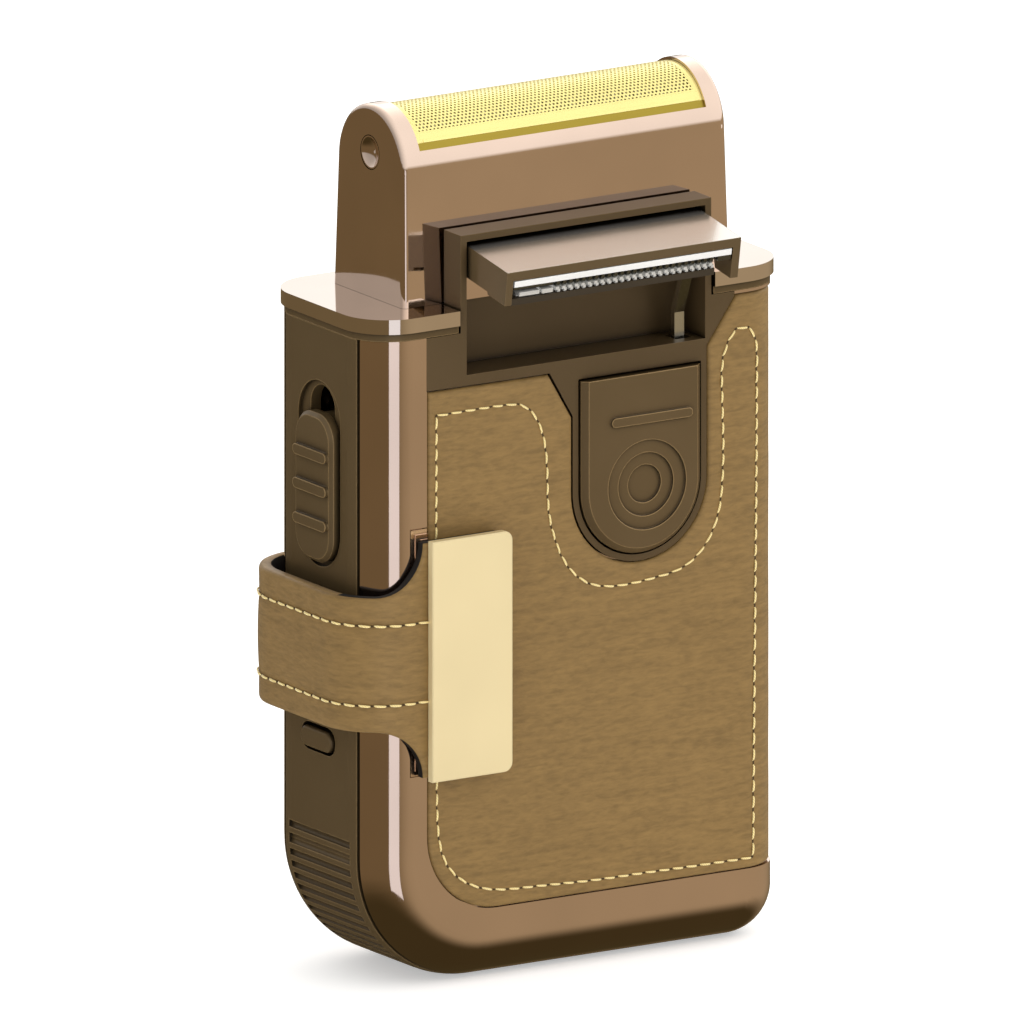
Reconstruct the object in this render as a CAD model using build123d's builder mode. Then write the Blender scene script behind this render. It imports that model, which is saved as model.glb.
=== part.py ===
from build123d import *
import math
import os

os.makedirs("parts", exist_ok=True)

# ---------------------------------------------------------------- driving sizes (mm)
# +Z up, origin at the centre of the flat underside; rear face (leather and trimmer) towards -Y,
# power slider side towards -X.
HALF_W = 28.3        # casing half width (X)
HALF_D = 11.45       # casing half depth (Y)
BODY_H = 77.3        # casing height up to the collar
R_LEFT = 15.5        # big bottom corner radius on the slider side
R_RIGHT = 6.0        # bottom corner radius on the spine side
EDGE_R = 5.5         # rounding of the casing's front and rear perimeter edges
BAND = 7.6           # half depth of the matte band
SHELL_Y = 8.05       # joint plane between band and glossy shells
WALL = 1.9           # band wall
JX, JY = 26.9, 10.6  # recess floor under the leather: right side and front/rear faces
LZ0, LZ1 = 8.6, 76.9  # leather height range
LX0 = -20.9          # leather's free edge
COLLAR_Z = 78.25     # top of matte collar
DECK_Z = 80.0        # top of mirror deck
HEAD_X = 0.6         # head centre in X
HEAD_TOP_R = 7.1     # head arch radius
ARCH_Z = 95.5        # arch centre height
FOIL_R = 6.75        # foil outer radius
AX_Y, AX_Z = -9.8, 85.82   # trimmer hinge axis
ARM_DROOP = 9.35     # arm slope at rest, degrees below horizontal
ARM_L = 9.84         # arm length from its axis
KEY_X, KEY_Z, KEY_R = 8.05, 56.2, 8.1   # thumb key centre and radius
CUT_STROKE = 0.75    # half stroke of the cutter
MOT_X, MOT_Y = 0.6, 2.6    # motor axis


def outline(l, r, b, zt, rl, rr):
    """Closed casing outline in a local XZ sketch: left/right/bottom insets, top height, corner radii."""
    xl, xr = -HALF_W + l, HALF_W - r
    with BuildLine() as ln:
        Line((xl, zt), (xl, b + rl))
        CenterArc((xl + rl, b + rl), rl, 180, 90)
        Line((xl + rl, b), (xr - rr, b))
        CenterArc((xr - rr, b + rr), rr, 270, 90)
        Line((xr, b + rr), (xr, zt))
        Line((xr, zt), (xl, zt))
    make_face(ln.edges())


def box(x0, x1, y0, y1, z0, z1, mode=Mode.ADD):
    with Locations(((x0 + x1) / 2, (y0 + y1) / 2, (z0 + z1) / 2)):
        Box(x1 - x0, y1 - y0, z1 - z0, mode=mode)


def cyl_x(x0, x1, y, z, r, mode=Mode.ADD):
    with BuildSketch(Plane.YZ.offset(x0)) as sk:
        with Locations((y, z)):
            Circle(r)
    extrude(sk.sketch, amount=x1 - x0, mode=mode)


def cyl_y(y0, y1, x, z, r, mode=Mode.ADD):
    with BuildSketch(Plane.XZ.offset(-y1)) as sk:
        with Locations((x, z)):
            Circle(r)
    extrude(sk.sketch, amount=y1 - y0, mode=mode)


def cyl_z(z0, z1, x, y, r, mode=Mode.ADD):
    with BuildSketch(Plane.XY.offset(z0)) as sk:
        with Locations((x, y)):
            Circle(r)
    extrude(sk.sketch, amount=z1 - z0, mode=mode)


def save(p, name):
    p.part.label = name
    export_step(p.part, "parts/%s.step" % name)


# ---------------------------------------------------------------- casing core (construction body only)
with BuildPart() as core:
    with BuildSketch(Plane.XZ.offset(HALF_D)):
        outline(0, 0, 0, BODY_H, R_LEFT, R_RIGHT)
    extrude(amount=-2 * HALF_D)
    rim = [e for e in core.edges() if abs(abs(e.center().Y) - HALF_D) < 0.01 and e.center().Z < BODY_H - 0.1]
    fillet(rim, EDGE_R)

# space taken out of the casing for the leather jacket
with BuildPart() as jacket_space:
    with BuildSketch(Plane.XY.offset(LZ0)):
        Rectangle(80, 40)
        with Locations((JX / 2 - 30, 0)):
            Rectangle(JX + 60, 2 * JY, mode=Mode.SUBTRACT)
    extrude(amount=LZ1 + 0.05 - LZ0)
    inner = [e for e in jacket_space.edges().filter_by(Axis.Z) if abs(e.center().X - JX) < 0.01]
    fillet(inner, 4.5)
    with BuildSketch(Plane.XZ.offset(20)):
        with BuildLine():
            Line((LX0, 90), (LX0, LZ0 + 9.5))
            CenterArc((LX0 + 9.5, LZ0 + 9.5), 9.5, 180, 90)
            Line((LX0 + 9.5, LZ0), (40, LZ0))
            Line((40, LZ0), (40, 90))
            Line((40, 90), (LX0, 90))
        make_face()
    extrude(amount=-40, mode=Mode.INTERSECT)


def bezel_outline(o):
    """Rear insert outline: shoulders, diagonal, tongue around the key. o grows it."""
    with BuildLine() as ln:
        Line((-20.9 - o, 77.25), (-20.9 - o, 71.0 - o))
        Line((-20.9 - o, 71.0 - o), (-4.2 - o, 70.9 - o))
        Line((-4.2 - o, 70.9 - o), (KEY_X - 9.1 - o, 65.4 - o))
        Line((KEY_X - 9.1 - o, 65.4 - o), (KEY_X - 9.1 - o, KEY_Z))
        CenterArc((KEY_X, KEY_Z), 9.1 + o, 180, 180)
        Line((KEY_X + 9.1 + o, KEY_Z), (KEY_X + 9.1 + o, 71.4 - o))
        Line((KEY_X + 9.1 + o, 71.4 - o), (20.9 + o, 76.7 - o))
        Line((20.9 + o, 76.7 - o), (20.9 + o, 77.25))
        Line((20.9 + o, 77.25), (-20.9 - o, 77.25))
    make_face(ln.edges())


SCREWS = [(-18.2, 17.0), (22.0, 14.5), (-18.2, 64.0), (21.6, 62.0)]

# ---------------------------------------------------------------- mid frame (matte band)
with BuildPart() as mid_frame:
    add(core.part)
    box(-40, 40, -BAND, BAND, -1, 90, Mode.INTERSECT)
    with BuildSketch(Plane.XZ.offset(SHELL_Y)):
        outline(1.0, 1.4, 1.0, BODY_H, R_LEFT - 1.0, R_RIGHT - 1.2)
    extrude(amount=-2 * SHELL_Y)
    with BuildSketch(Plane.XZ.offset(9)):
        outline(WALL, 3.0, WALL, 90, R_LEFT - WALL, R_RIGHT - 2.5)
    extrude(amount=-18, mode=Mode.SUBTRACT)
    add(jacket_space.part, mode=Mode.SUBTRACT)
    # screw posts joined to the side walls
    for sx, sz in SCREWS:
        cyl_y(-SHELL_Y, SHELL_Y, sx, sz, 1.9)
        if sx < 0:
            box(-27.0, sx - 1.0, -5.6, -4.4, sz - 1.6, sz + 1.6)
            box(-27.0, sx - 1.0, 4.6, 5.8, sz - 1.6, sz + 1.6)
        else:
            box(sx + 1.0, 26.0, -5.0, 5.0, sz - 0.7, sz + 0.7)
    for sx, sz in SCREWS:
        cyl_y(-SHELL_Y - 1, SHELL_Y + 1, sx, sz, 0.7, Mode.SUBTRACT)
    # slider track: shallow stadium recess and the slot through the wall
    with BuildSketch(Plane.YZ.offset(-28.35)):
        with Locations((0, 59.9)):
            SlotOverall(22.0, 9.0, rotation=90)
    extrude(amount=0.55, mode=Mode.SUBTRACT)
    with BuildSketch(Plane.YZ.offset(-28.35)):
        with Locations((0, 61.15)):
            SlotOverall(18.3, 5.2, rotation=90)
    extrude(amount=3.0, mode=Mode.SUBTRACT)
    # side button opening
    with BuildSketch(Plane.YZ.offset(-28.35)):
        with Locations((0.2, 28.4)):
            SlotOverall(7.3, 3.3)
    extrude(amount=3.0, mode=Mode.SUBTRACT)
    # charging port opening in the underside
    with BuildSketch(Plane.XY.offset(-0.5)):
        with Locations((0, 0.6)):
            SlotOverall(9.4, 3.6)
    extrude(amount=3.0, mode=Mode.SUBTRACT)
    # grip ribs: grooves cut across the band round the big corner
    cx, cz = -HALF_W + R_LEFT, R_LEFT
    grooves = []
    for k in range(2):
        grooves.append(((-HALF_W - 0.02, R_LEFT + 0.1 + 1.5 * k), 0.0))
    for k in range(17):
        a = math.radians(180 + 5.5 * k + 1.0)
        grooves.append(((cx + (R_LEFT + 0.02) * math.cos(a), cz + (R_LEFT + 0.02) * math.sin(a)), math.degrees(a) - 180))
    for (gx, gz), ang in grooves:
        with BuildSketch(Plane.XZ.offset(6.5)):
            with Locations((gx, gz)):
                Circle(0.42)
        extrude(amount=-13.0, mode=Mode.SUBTRACT)
save(mid_frame, "mid_frame")

# ---------------------------------------------------------------- glossy shells
with BuildPart() as rear_shell:
    add(core.part)
    box(-40, 40, -HALF_D - 1, -SHELL_Y, -1, 90, Mode.INTERSECT)
    with BuildSketch(Plane.XZ.offset(9.6)):
        outline(3.0, 5.8, 3.0, 90, R_LEFT - 3.0, 3.0)
    extrude(amount=-3, mode=Mode.SUBTRACT)
    add(jacket_space.part, mode=Mode.SUBTRACT)
    with BuildSketch(Plane.XZ.offset(14)):
        bezel_outline(0.05)
    extrude(amount=-8, mode=Mode.SUBTRACT)
    box(-20.95, 20.95, -14, -6, 77.0, 78.0, Mode.SUBTRACT)
    for sx, sz in SCREWS:
        cyl_y(-12, -SHELL_Y + 0.5, sx, sz, 0.9, Mode.SUBTRACT)
        cyl_y(-12, -9.9, sx, sz, 1.7, Mode.SUBTRACT)
    for sx, sz in SCREWS:
        cyl_y(-9.9, -SHELL_Y, sx, sz, 1.7)
        cyl_y(-12, -SHELL_Y + 0.5, sx, sz, 0.9, Mode.SUBTRACT)
    # seat of the strap keeper at the leather's free edge
    box(-23.2, -20.9, -13, -10.7, 25.5, 54.9, Mode.SUBTRACT)
save(rear_shell, "rear_shell")

with BuildPart() as front_shell:
    add(core.part)
    box(-40, 40, SHELL_Y, HALF_D + 1, -1, 90, Mode.INTERSECT)
    with BuildSketch(Plane.XZ.offset(-9.6)):
        outline(3.0, 5.8, 3.0, BODY_H - 1.0, R_LEFT - 3.0, 3.0)
    extrude(amount=3, mode=Mode.SUBTRACT)
    add(jacket_space.part, mode=Mode.SUBTRACT)
    for sx, sz in SCREWS:
        cyl_y(SHELL_Y - 0.5, 12, sx, sz, 0.9, Mode.SUBTRACT)
        cyl_y(9.9, 12, sx, sz, 1.7, Mode.SUBTRACT)
    for sx, sz in SCREWS:
        cyl_y(SHELL_Y, 9.9, sx, sz, 1.7)
        cyl_y(SHELL_Y - 0.5, 12, sx, sz, 0.9, Mode.SUBTRACT)
save(front_shell, "front_shell")

# eight identical casing screws, heads sunk under the leather
with BuildPart() as case_screws:
    for sx, sz in SCREWS:
        for s in (-1, 1):
            y_head = s * 10.5
            y_in = s * 9.92
            y_tip = s * 4.2
            cyl_y(min(y_head, y_in), max(y_head, y_in), sx, sz, 1.5)
            cyl_y(min(y_in, y_tip), max(y_in, y_tip), sx, sz, 0.68)
    for sx, sz in SCREWS:
        for s in (-1, 1):
            box(sx - 0.9, sx + 0.9, min(s * 10.25, s * 10.9), max(s * 10.25, s * 10.9), sz - 0.15, sz + 0.15, Mode.SUBTRACT)
            box(sx - 0.15, sx + 0.15, min(s * 10.25, s * 10.9), max(s * 10.25, s * 10.9), sz - 0.9, sz + 0.9, Mode.SUBTRACT)
save(case_screws, "case_screws")

# ---------------------------------------------------------------- leather jacket: rear panel, spine, front panel
with BuildPart() as leather_jacket:
    with BuildSketch(Plane.XY.offset(LZ0 + 0.05)) as js:
        with Locations((3.52, 0)):
            Rectangle(48.76, 23.3)
        fillet([v for v in js.vertices() if v.X > 20], 5.4)
    extrude(amount=LZ1 - LZ0 - 0.1)
    with BuildSketch(Plane.XY.offset(LZ0 - 1)) as ji:
        with Locations((3.01 - 10, 0)):
            Rectangle(47.82 + 20, 2 * (JY + 0.02))
        fillet([v for v in ji.vertices() if v.X > 20], 4.5)
    extrude(amount=LZ1 - LZ0 + 3, mode=Mode.SUBTRACT)
    with BuildSketch(Plane.XZ.offset(20)):
        with BuildLine():
            Line((LX0 + 0.04, 90), (LX0 + 0.04, LZ0 + 9.5))
            CenterArc((LX0 + 9.5, LZ0 + 9.5), 9.46, 180, 90)
            Line((LX0 + 9.5, LZ0 + 0.04), (40, LZ0 + 0.04))
            Line((40, LZ0 + 0.04), (40, 90))
            Line((40, 90), (LX0 + 0.04, 90))
        make_face()
    extrude(amount=-40, mode=Mode.INTERSECT)
    with BuildSketch(Plane.XZ.offset(14)):
        bezel_outline(0.1)
    extrude(amount=-8, mode=Mode.SUBTRACT)
    box(-21.0, 21.0, -14, -6, 77.0, 78.0, Mode.SUBTRACT)
save(leather_jacket, "leather_jacket")

# ---------------------------------------------------------------- collar, deck
NX0, NX1, NY = -16.6, 18.1, -5.45     # notch for the trimmer bezel


def deck_openings(z0, z1, clr):
    box(NX0, NX1, -13, NY, z0, z1, Mode.SUBTRACT)
    box(HEAD_X - 8.6, HEAD_X + 8.6, -3.6, 3.6, z0, z1, Mode.SUBTRACT)
    box(HEAD_X - 21.2 - clr, HEAD_X - 19.8 + clr, -4.0 - clr, 4.0 + clr, z0, z1, Mode.SUBTRACT)
    box(HEAD_X + 19.8 - clr, HEAD_X + 21.2 + clr, -4.0 - clr, 4.0 + clr, z0, z1, Mode.SUBTRACT)


with BuildPart() as top_frame:
    with BuildSketch(Plane.XY.offset(BODY_H + 0.02)) as ts:
        Rectangle(2 * HALF_W, 2 * HALF_D)
        fillet(ts.vertices(), EDGE_R)
    extrude(amount=COLLAR_Z - BODY_H - 0.02)
    # locating rim inside the band
    with BuildSketch(Plane.XY.offset(74.8)):
        with Locations((-0.55, 0)):
            Rectangle(51.5, 15.4)
            Rectangle(49.1, 13.0, mode=Mode.SUBTRACT)
    extrude(amount=BODY_H + 0.1 - 74.8)
    deck_openings(77.0, 79.0, 0.25)
    box(-17.0, 18.5, -9, NY, 70, 78, Mode.SUBTRACT)
save(top_frame, "top_frame")

with BuildPart() as deck_plate:
    with BuildSketch(Plane.XY.offset(COLLAR_Z)) as ds:
        Rectangle(2 * 28.75, 2 * 11.85)
        fillet(ds.vertices(), 6.0)
    extrude(amount=DECK_Z - COLLAR_Z)
    deck_openings(77.0, 81.0, 0.15)
save(deck_plate, "deck_plate")

with BuildPart() as hair_seal:
    with BuildSketch(Plane.XY.offset(DECK_Z + 0.02)):
        with Locations((HEAD_X, 0)):
            RectangleRounded(26, 9.6, 1.5)
            RectangleRounded(15.4, 5.6, 1.0, mode=Mode.SUBTRACT)
    extrude(amount=0.8)
save(hair_seal, "hair_seal")

# ---------------------------------------------------------------- trimmer bezel
with BuildPart() as trimmer_bezel:
    with BuildSketch(Plane.XZ.offset(HALF_D)):
        bezel_outline(0)
    extrude(amount=-1.9)
    # key opening
    with BuildSketch(Plane.XZ.offset(13)):
        with BuildLine():
            Line((KEY_X - 8.35, 69.65), (KEY_X - 8.35, KEY_Z))
            CenterArc((KEY_X, KEY_Z), 8.35, 180, 180)
            Line((KEY_X + 8.35, KEY_Z), (KEY_X + 8.35, 69.65))
            Line((KEY_X + 8.35, 69.65), (KEY_X - 8.35, 69.65))
        make_face()
    extrude(amount=-6, mode=Mode.SUBTRACT)
    # goal-post frame above the deck
    box(-16.3, 17.8, -11.45, -7.85, 76.0, 88.8)
    # recess box down inside the casing
    box(-16.3, 17.8, -9.58, -5.6, 69.7, 79.85)
    box(-16.3, 17.1, -11.45, -9.4, 71.2, 79.85)
    box(-16.3, 17.8, -11.45, -9.4, 72.5, 79.85)
    # ears for the key pin and the lever pin
    box(1.4, 2.9, -10.1, -8.3, 67.1, 70.0)
    box(13.2, 14.7, -10.1, -8.3, 67.1, 70.0)
    box(4.2, 5.4, -7.6, -5.7, 64.9, 70.0)
    box(10.7, 11.9, -7.6, -5.7, 64.9, 70.0)
    # the recess
    box(-15.5, 17.0, -13, -6.2, 72.2, 79.95, Mode.SUBTRACT)
    box(-15.5, 17.0, -13, -5, 79.9, 88.0, Mode.SUBTRACT)
    # slot in the recess floor for the strut's foot
    box(13.9, 16.1, -10.0, -7.5, 69, 72.5, Mode.SUBTRACT)
    # pin seats
    cyl_x(-15.95, 17.45, AX_Y, AX_Z, 0.6, Mode.SUBTRACT)
    cyl_x(1.0, 15.0, -9.2, 68.2, 0.5, Mode.SUBTRACT)
    cyl_x(4.0, 12.1, -6.6, 65.9, 0.5, Mode.SUBTRACT)
save(trimmer_bezel, "trimmer_bezel")

with BuildPart() as trimmer_hinge_pin:
    cyl_x(-15.93, 17.43, AX_Y, AX_Z, 0.59)
save(trimmer_hinge_pin, "trimmer_hinge_pin")

with BuildPart() as key_hinge_pin:
    cyl_x(1.1, 15.0, -9.2, 68.2, 0.49)
save(key_hinge_pin, "key_hinge_pin")

with BuildPart() as lever_pin:
    cyl_x(4.1, 12.0, -6.6, 65.9, 0.49)
save(lever_pin, "lever_pin")

# ---------------------------------------------------------------- trimmer arm (rest position: flipped out)
# local frame of the arm: u along the arm away from the axis, v outwards through its top face
dr = math.radians(ARM_DROOP)
DU = (-math.cos(dr), -math.sin(dr))
DV = (-math.sin(dr), math.cos(dr))


def uv(u, v):
    return (AX_Y + u * DU[0] + v * DV[0], AX_Z + u * DU[1] + v * DV[1])


ARM_X0, ARM_X1 = -15.2, 16.6


def arm_poly(x0, x1, pts, mode=Mode.ADD):
    with BuildSketch(Plane.YZ.offset(x0)) as sk:
        with BuildLine() as ln:
            Polyline(*[uv(*p) for p in pts], close=True)
        make_face(ln.edges())
    extrude(sk.sketch, amount=x1 - x0, mode=mode)


with BuildPart() as trimmer_arm:
    cyl_x(ARM_X0, ARM_X1, AX_Y, AX_Z, 1.8)
    arm_poly(ARM_X0, ARM_X1, [(0, 1.8), (ARM_L, 1.8), (ARM_L, -3.15), (6.5, -3.15), (6.0, -1.95), (0, -1.95)])
    # the left cheek is shallower at the free end
    arm_poly(ARM_X0 - 1, 0, [(5, -2.3), (ARM_L + 1, -2.3), (ARM_L + 1, -5), (5, -5)], Mode.SUBTRACT)
    # hollow underside between the cheeks, thicker lip over the blades
    arm_poly(ARM_X0 + 0.9, ARM_X1 - 1.0, [(2.0, 0.9), (8.3, 0.9), (8.3, 0.68), (ARM_L + 1, 0.68), (ARM_L + 1, -4), (2.0, -4)], Mode.SUBTRACT)
    # barrel between the cheeks stays round
    arm_poly(ARM_X0 + 0.9, ARM_X1 - 1.0, [(-3, -1.8), (3, -1.8), (3, -5), (-3, -5)], Mode.SUBTRACT)
    # ribs that carry the blade holder
    arm_poly(-9.5, -8.7, [(1.8, 1.0), (6.0, 1.0), (6.0, -1.0), (1.8, -1.0)])
    arm_poly(8.7, 9.5, [(1.8, 1.0), (6.0, 1.0), (6.0, -1.0), (1.8, -1.0)])
    cyl_x(-18, 19, AX_Y, AX_Z, 0.66, Mode.SUBTRACT)
    # clearance for the torsion spring round the pin
    cyl_x(-6.0, -1.0, AX_Y, AX_Z, 3.0, Mode.SUBTRACT)
    arm_poly(-6.0, -1.0, [(-1, 1.8), (2.6, 1.8), (2.6, 0.9), (1.7, 0.9), (1.5, 1.42), (-1, 1.42)])
    py, pz = uv(2.9, -0.9)
    cyl_x(15.4, 16.45, py, pz, 0.4, Mode.SUBTRACT)
save(trimmer_arm, "trimmer_arm")

with BuildPart() as blade_holder:
    arm_poly(-14.25, 13.4, [(6.05, 0.6), (8.4, 0.6), (8.4, -1.65), (ARM_L - 0.15, -1.65), (ARM_L - 0.15, -2.45), (6.05, -2.45)])
    arm_poly(-9.0, 9.0, [(6.05, 0.88), (7.2, 0.88), (7.2, 0.5), (6.05, 0.5)])
save(blade_holder, "blade_holder")

# polished guard bar along the top of the blades
with BuildPart() as trimmer_guard:
    arm_poly(-14.1, 15.4, [(8.45, 0.58), (ARM_L + 0.02, 0.58), (ARM_L + 0.05, 0.5), (ARM_L + 0.05, -0.08), (ARM_L + 0.02, -0.15), (8.45, -0.15)])
save(trimmer_guard, "trimmer_guard")

# fixed comb: slotted plate under the guard bar, plain at both ends
TOOTH_P = 0.87
TOOTH_0 = -8.0
with BuildPart() as trimmer_comb:
    arm_poly(-14.1, 15.4, [(8.45, -0.16), (9.1, -0.16), (9.1, -0.75), (8.45, -0.75)])
    for k in range(25):
        x = TOOTH_0 + TOOTH_P * k
        arm_poly(x - 0.22, x + 0.22, [(9.0, -0.16), (ARM_L - 0.12, -0.16), (ARM_L - 0.12, -0.6), (ARM_L - 0.25, -0.82), (9.0, -0.82)])
    arm_poly(-14.1, TOOTH_0 - 0.75, [(9.0, -0.16), (ARM_L - 0.12, -0.16), (ARM_L - 0.12, -0.5), (9.0, -0.5)])
    arm_poly(TOOTH_0 + TOOTH_P * 24 + 0.75, 15.4, [(9.0, -0.16), (ARM_L - 0.02, -0.16), (ARM_L - 0.02, -0.75), (9.0, -0.75)])
save(trimmer_comb, "trimmer_comb")

# moving blade: toothed strip against the comb, with plain tabs at its left end
with BuildPart() as trimmer_blade:
    arm_poly(-13.3, 13.3, [(8.45, -0.88), (9.1, -0.88), (9.1, -1.6), (8.45, -1.6)])
    for k in range(25):
        x = TOOTH_0 + TOOTH_P * k
        arm_poly(x - 0.3, x + 0.12, [(9.0, -0.88), (ARM_L - 0.06, -0.88), (ARM_L - 0.06, -1.2), (ARM_L - 0.2, -1.35), (9.0, -1.35)])
        arm_poly(x - 0.02, x + 0.3, [(9.0, -1.15), (ARM_L - 0.06, -1.15), (ARM_L - 0.06, -1.45), (ARM_L - 0.2, -1.6), (9.0, -1.6)])
    arm_poly(-13.3, -10.6, [(9.0, -0.88), (ARM_L, -0.88), (ARM_L, -1.35), (9.0, -1.35)])
    arm_poly(-10.2, -8.75, [(9.0, -0.88), (ARM_L, -0.88), (ARM_L, -1.4), (9.0, -1.4)])
save(trimmer_blade, "trimmer_blade")

# bent steel strut from the arm down into the recess floor
P = (py, pz)
Q = (-9.0, 75.2)
B = (-9.0, 71.2)
with BuildPart() as trimmer_link:
    with BuildSketch(Plane.YZ.offset(14.1)):
        with BuildLine():
            Polyline((P[0] - 0.45, P[1]), (Q[0] - 0.4, Q[1]), (B[0] - 0.4, B[1]), (B[0] + 0.4, B[1]),
                     (Q[0] + 0.4, Q[1] + 0.15), (P[0] + 0.45, P[1] + 0.05), close=True)
        make_face()
        with Locations(P):
            Circle(0.85)
            Circle(0.45, mode=Mode.SUBTRACT)
    extrude(amount=1.3)
save(trimmer_link, "trimmer_link")

with BuildPart() as link_pin:
    cyl_x(13.8, 16.43, P[0], P[1], 0.39)
    cyl_x(13.5, 13.95, P[0], P[1], 0.75)
save(link_pin, "link_pin")

with BuildPart() as trimmer_spring:
    with BuildLine() as coil:
        Helix(pitch=0.62, height=3.7, radius=1.1, center=(-5.4, AX_Y, AX_Z), direction=(1, 0, 0))
    with BuildSketch(Plane(origin=coil.line @ 0, z_dir=coil.line % 0)):
        Circle(0.2)
    sweep()
save(trimmer_spring, "trimmer_spring")

# ---------------------------------------------------------------- thumb key and the lever behind it
with BuildPart() as thumb_key:
    with BuildSketch(Plane.XZ.offset(10.3)):
        with BuildLine():
            Line((KEY_X - KEY_R, 69.4), (KEY_X - KEY_R, KEY_Z))
            CenterArc((KEY_X, KEY_Z), KEY_R, 180, 180)
            Line((KEY_X + KEY_R, KEY_Z), (KEY_X + KEY_R, 69.4))
            Line((KEY_X + KEY_R, 69.4), (KEY_X - KEY_R, 69.4))
        make_face()
    extrude(amount=2.0)
    front = [e for e in thumb_key.edges() if abs(e.center().Y + 12.3) < 0.01 and e.center().Z < 69.3]
    chamfer(front, 0.7)
    # stepped round dish
    for r, d in ((5.3, 0.3), (3.75, 0.6), (2.25, 0.9)):
        cyl_y(-13, -12.3 + d, KEY_X + 0.5, KEY_Z, r, Mode.SUBTRACT)
    # grip bar
    with BuildSketch(Plane.XZ.offset(12.2)):
        with Locations((9.1, 64.1)):
            SlotOverall(11.0, 1.1)
    extrude(amount=0.4)
    # hinge lug with its bore, and the pusher for the lever
    box(3.1, 13.0, -10.35, -9.2, 67.35, 69.05)
    cyl_x(3.1, 13.0, -9.2, 68.2, 0.85)
    cyl_x(2, 14, -9.2, 68.2, 0.55, Mode.SUBTRACT)
    box(6.6, 9.5, -10.35, -9.4, 57.2, 59.0)
save(thumb_key, "thumb_key")

with BuildPart() as release_lever:
    box(7.0, 9.1, -7.0, -6.2, 60.0, 66.0)
    box(7.0, 9.1, -9.3, -6.2, 57.4, 60.0)
    cyl_x(5.5, 10.6, -6.6, 65.9, 0.95)
    cyl_x(4, 12, -6.6, 65.9, 0.55, Mode.SUBTRACT)
save(release_lever, "release_lever")

with BuildPart() as key_spring:
    with BuildLine() as coil2:
        Helix(pitch=1.05, height=5.0, radius=1.5, center=(8.3, -10.0, 53.2), direction=(0, 1, 0))
    with BuildSketch(Plane(origin=coil2.line @ 0, z_dir=coil2.line % 0)):
        Circle(0.2)
    sweep()
save(key_spring, "key_spring")

# ---------------------------------------------------------------- head: arched cover, foil, carrier, release buttons
HW0, HW1 = 22.3, 21.9


def arch(hb, ht, z0, zc, r):
    """Arched profile in a local YZ sketch: half depth hb at z0, ht at zc, then a round top."""
    with BuildLine() as ln:
        Line((-hb, z0), (-ht, zc))
        ThreePointArc((-ht, zc), (0, zc + r), (ht, zc))
        Line((ht, zc), (hb, z0))
        Line((hb, z0), (-hb, z0))
    make_face(ln.edges())


def sector(r0, r1, half_deg):
    """Ring sector round the arch centre in a local YZ sketch."""
    a = math.radians(half_deg)
    with BuildLine() as ln:
        p = lambda r, t: (r * math.sin(t), ARCH_Z + r * math.cos(t))
        ThreePointArc(p(r1, -a), p(r1, 0), p(r1, a))
        Line(p(r1, a), p(r0, a))
        ThreePointArc(p(r0, a), p(r0, 0), p(r0, -a))
        Line(p(r0, -a), p(r1, -a))
    make_face(ln.edges())


FW0, FW1 = -18.8, 20.2      # foil window
with BuildPart() as head_frame:
    with BuildSketch(Plane.YZ.offset(HEAD_X - HW0)):
        arch(7.6, HEAD_TOP_R, DECK_Z + 0.02, ARCH_Z, HEAD_TOP_R)
    extrude(amount=2 * HW0)
    with BuildSketch(Plane.XZ.offset(12)):
        with BuildLine():
            Polyline((HEAD_X - HW0, DECK_Z - 1), (HEAD_X + HW0, DECK_Z - 1), (HEAD_X + HW1, 103), (HEAD_X - HW1, 103), close=True)
        make_face()
    extrude(amount=-24, mode=Mode.INTERSECT)
    for f in (head_frame.faces().sort_by(Axis.X)[0], head_frame.faces().sort_by(Axis.X)[-1]):
        fillet([e for e in f.edges() if e.center().Z > DECK_Z + 0.5], 0.7)
    with BuildSketch(Plane.YZ.offset(HEAD_X - 21.1)):
        arch(6.5, 6.2, DECK_Z - 1, ARCH_Z, 6.2)
    extrude(amount=2 * 20.9, mode=Mode.SUBTRACT)
    # seat of the foil and the window over it
    with BuildSketch(Plane.YZ.offset(-20.2)):
        sector(5.5, FOIL_R + 0.05, 77.5)
    extrude(amount=41.6, mode=Mode.SUBTRACT)
    with BuildSketch(Plane.YZ.offset(FW0)):
        sector(5.0, 12.0, 68)
    extrude(amount=FW1 - FW0, mode=Mode.SUBTRACT)
    # location tabs that enter the deck
    box(HEAD_X - 21.2, HEAD_X - 19.8, -4.0, 4.0, 77.4, 82.0)
    box(HEAD_X + 19.8, HEAD_X + 21.2, -4.0, 4.0, 77.4, 82.0)
    # button bores in the end walls
    cyl_x(-22.5, -19.0, 0, 97.0, 2.05, Mode.SUBTRACT)
    cyl_x(20.0, 23.5, 0, 97.0, 2.05, Mode.SUBTRACT)
save(head_frame, "head_frame")

with BuildPart() as foil:
    with BuildSketch(Plane.YZ.offset(-20.0)):
        sector(FOIL_R - 0.15, FOIL_R, 76)
    extrude(amount=41.2)
save(foil, "foil")

with BuildPart() as foil_carrier:
    box(-20.4, 21.2, -6.05, 6.05, 88.6, 94.6)
    box(-18.6, 19.8, -5.6, 5.6, 88, 96, Mode.SUBTRACT)
    box(-16, 17, -5.95, -5.6, 94.0, 95.4)
    box(-16, 17, 5.6, 5.95, 94.0, 95.4)
save(foil_carrier, "foil_carrier")

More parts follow.
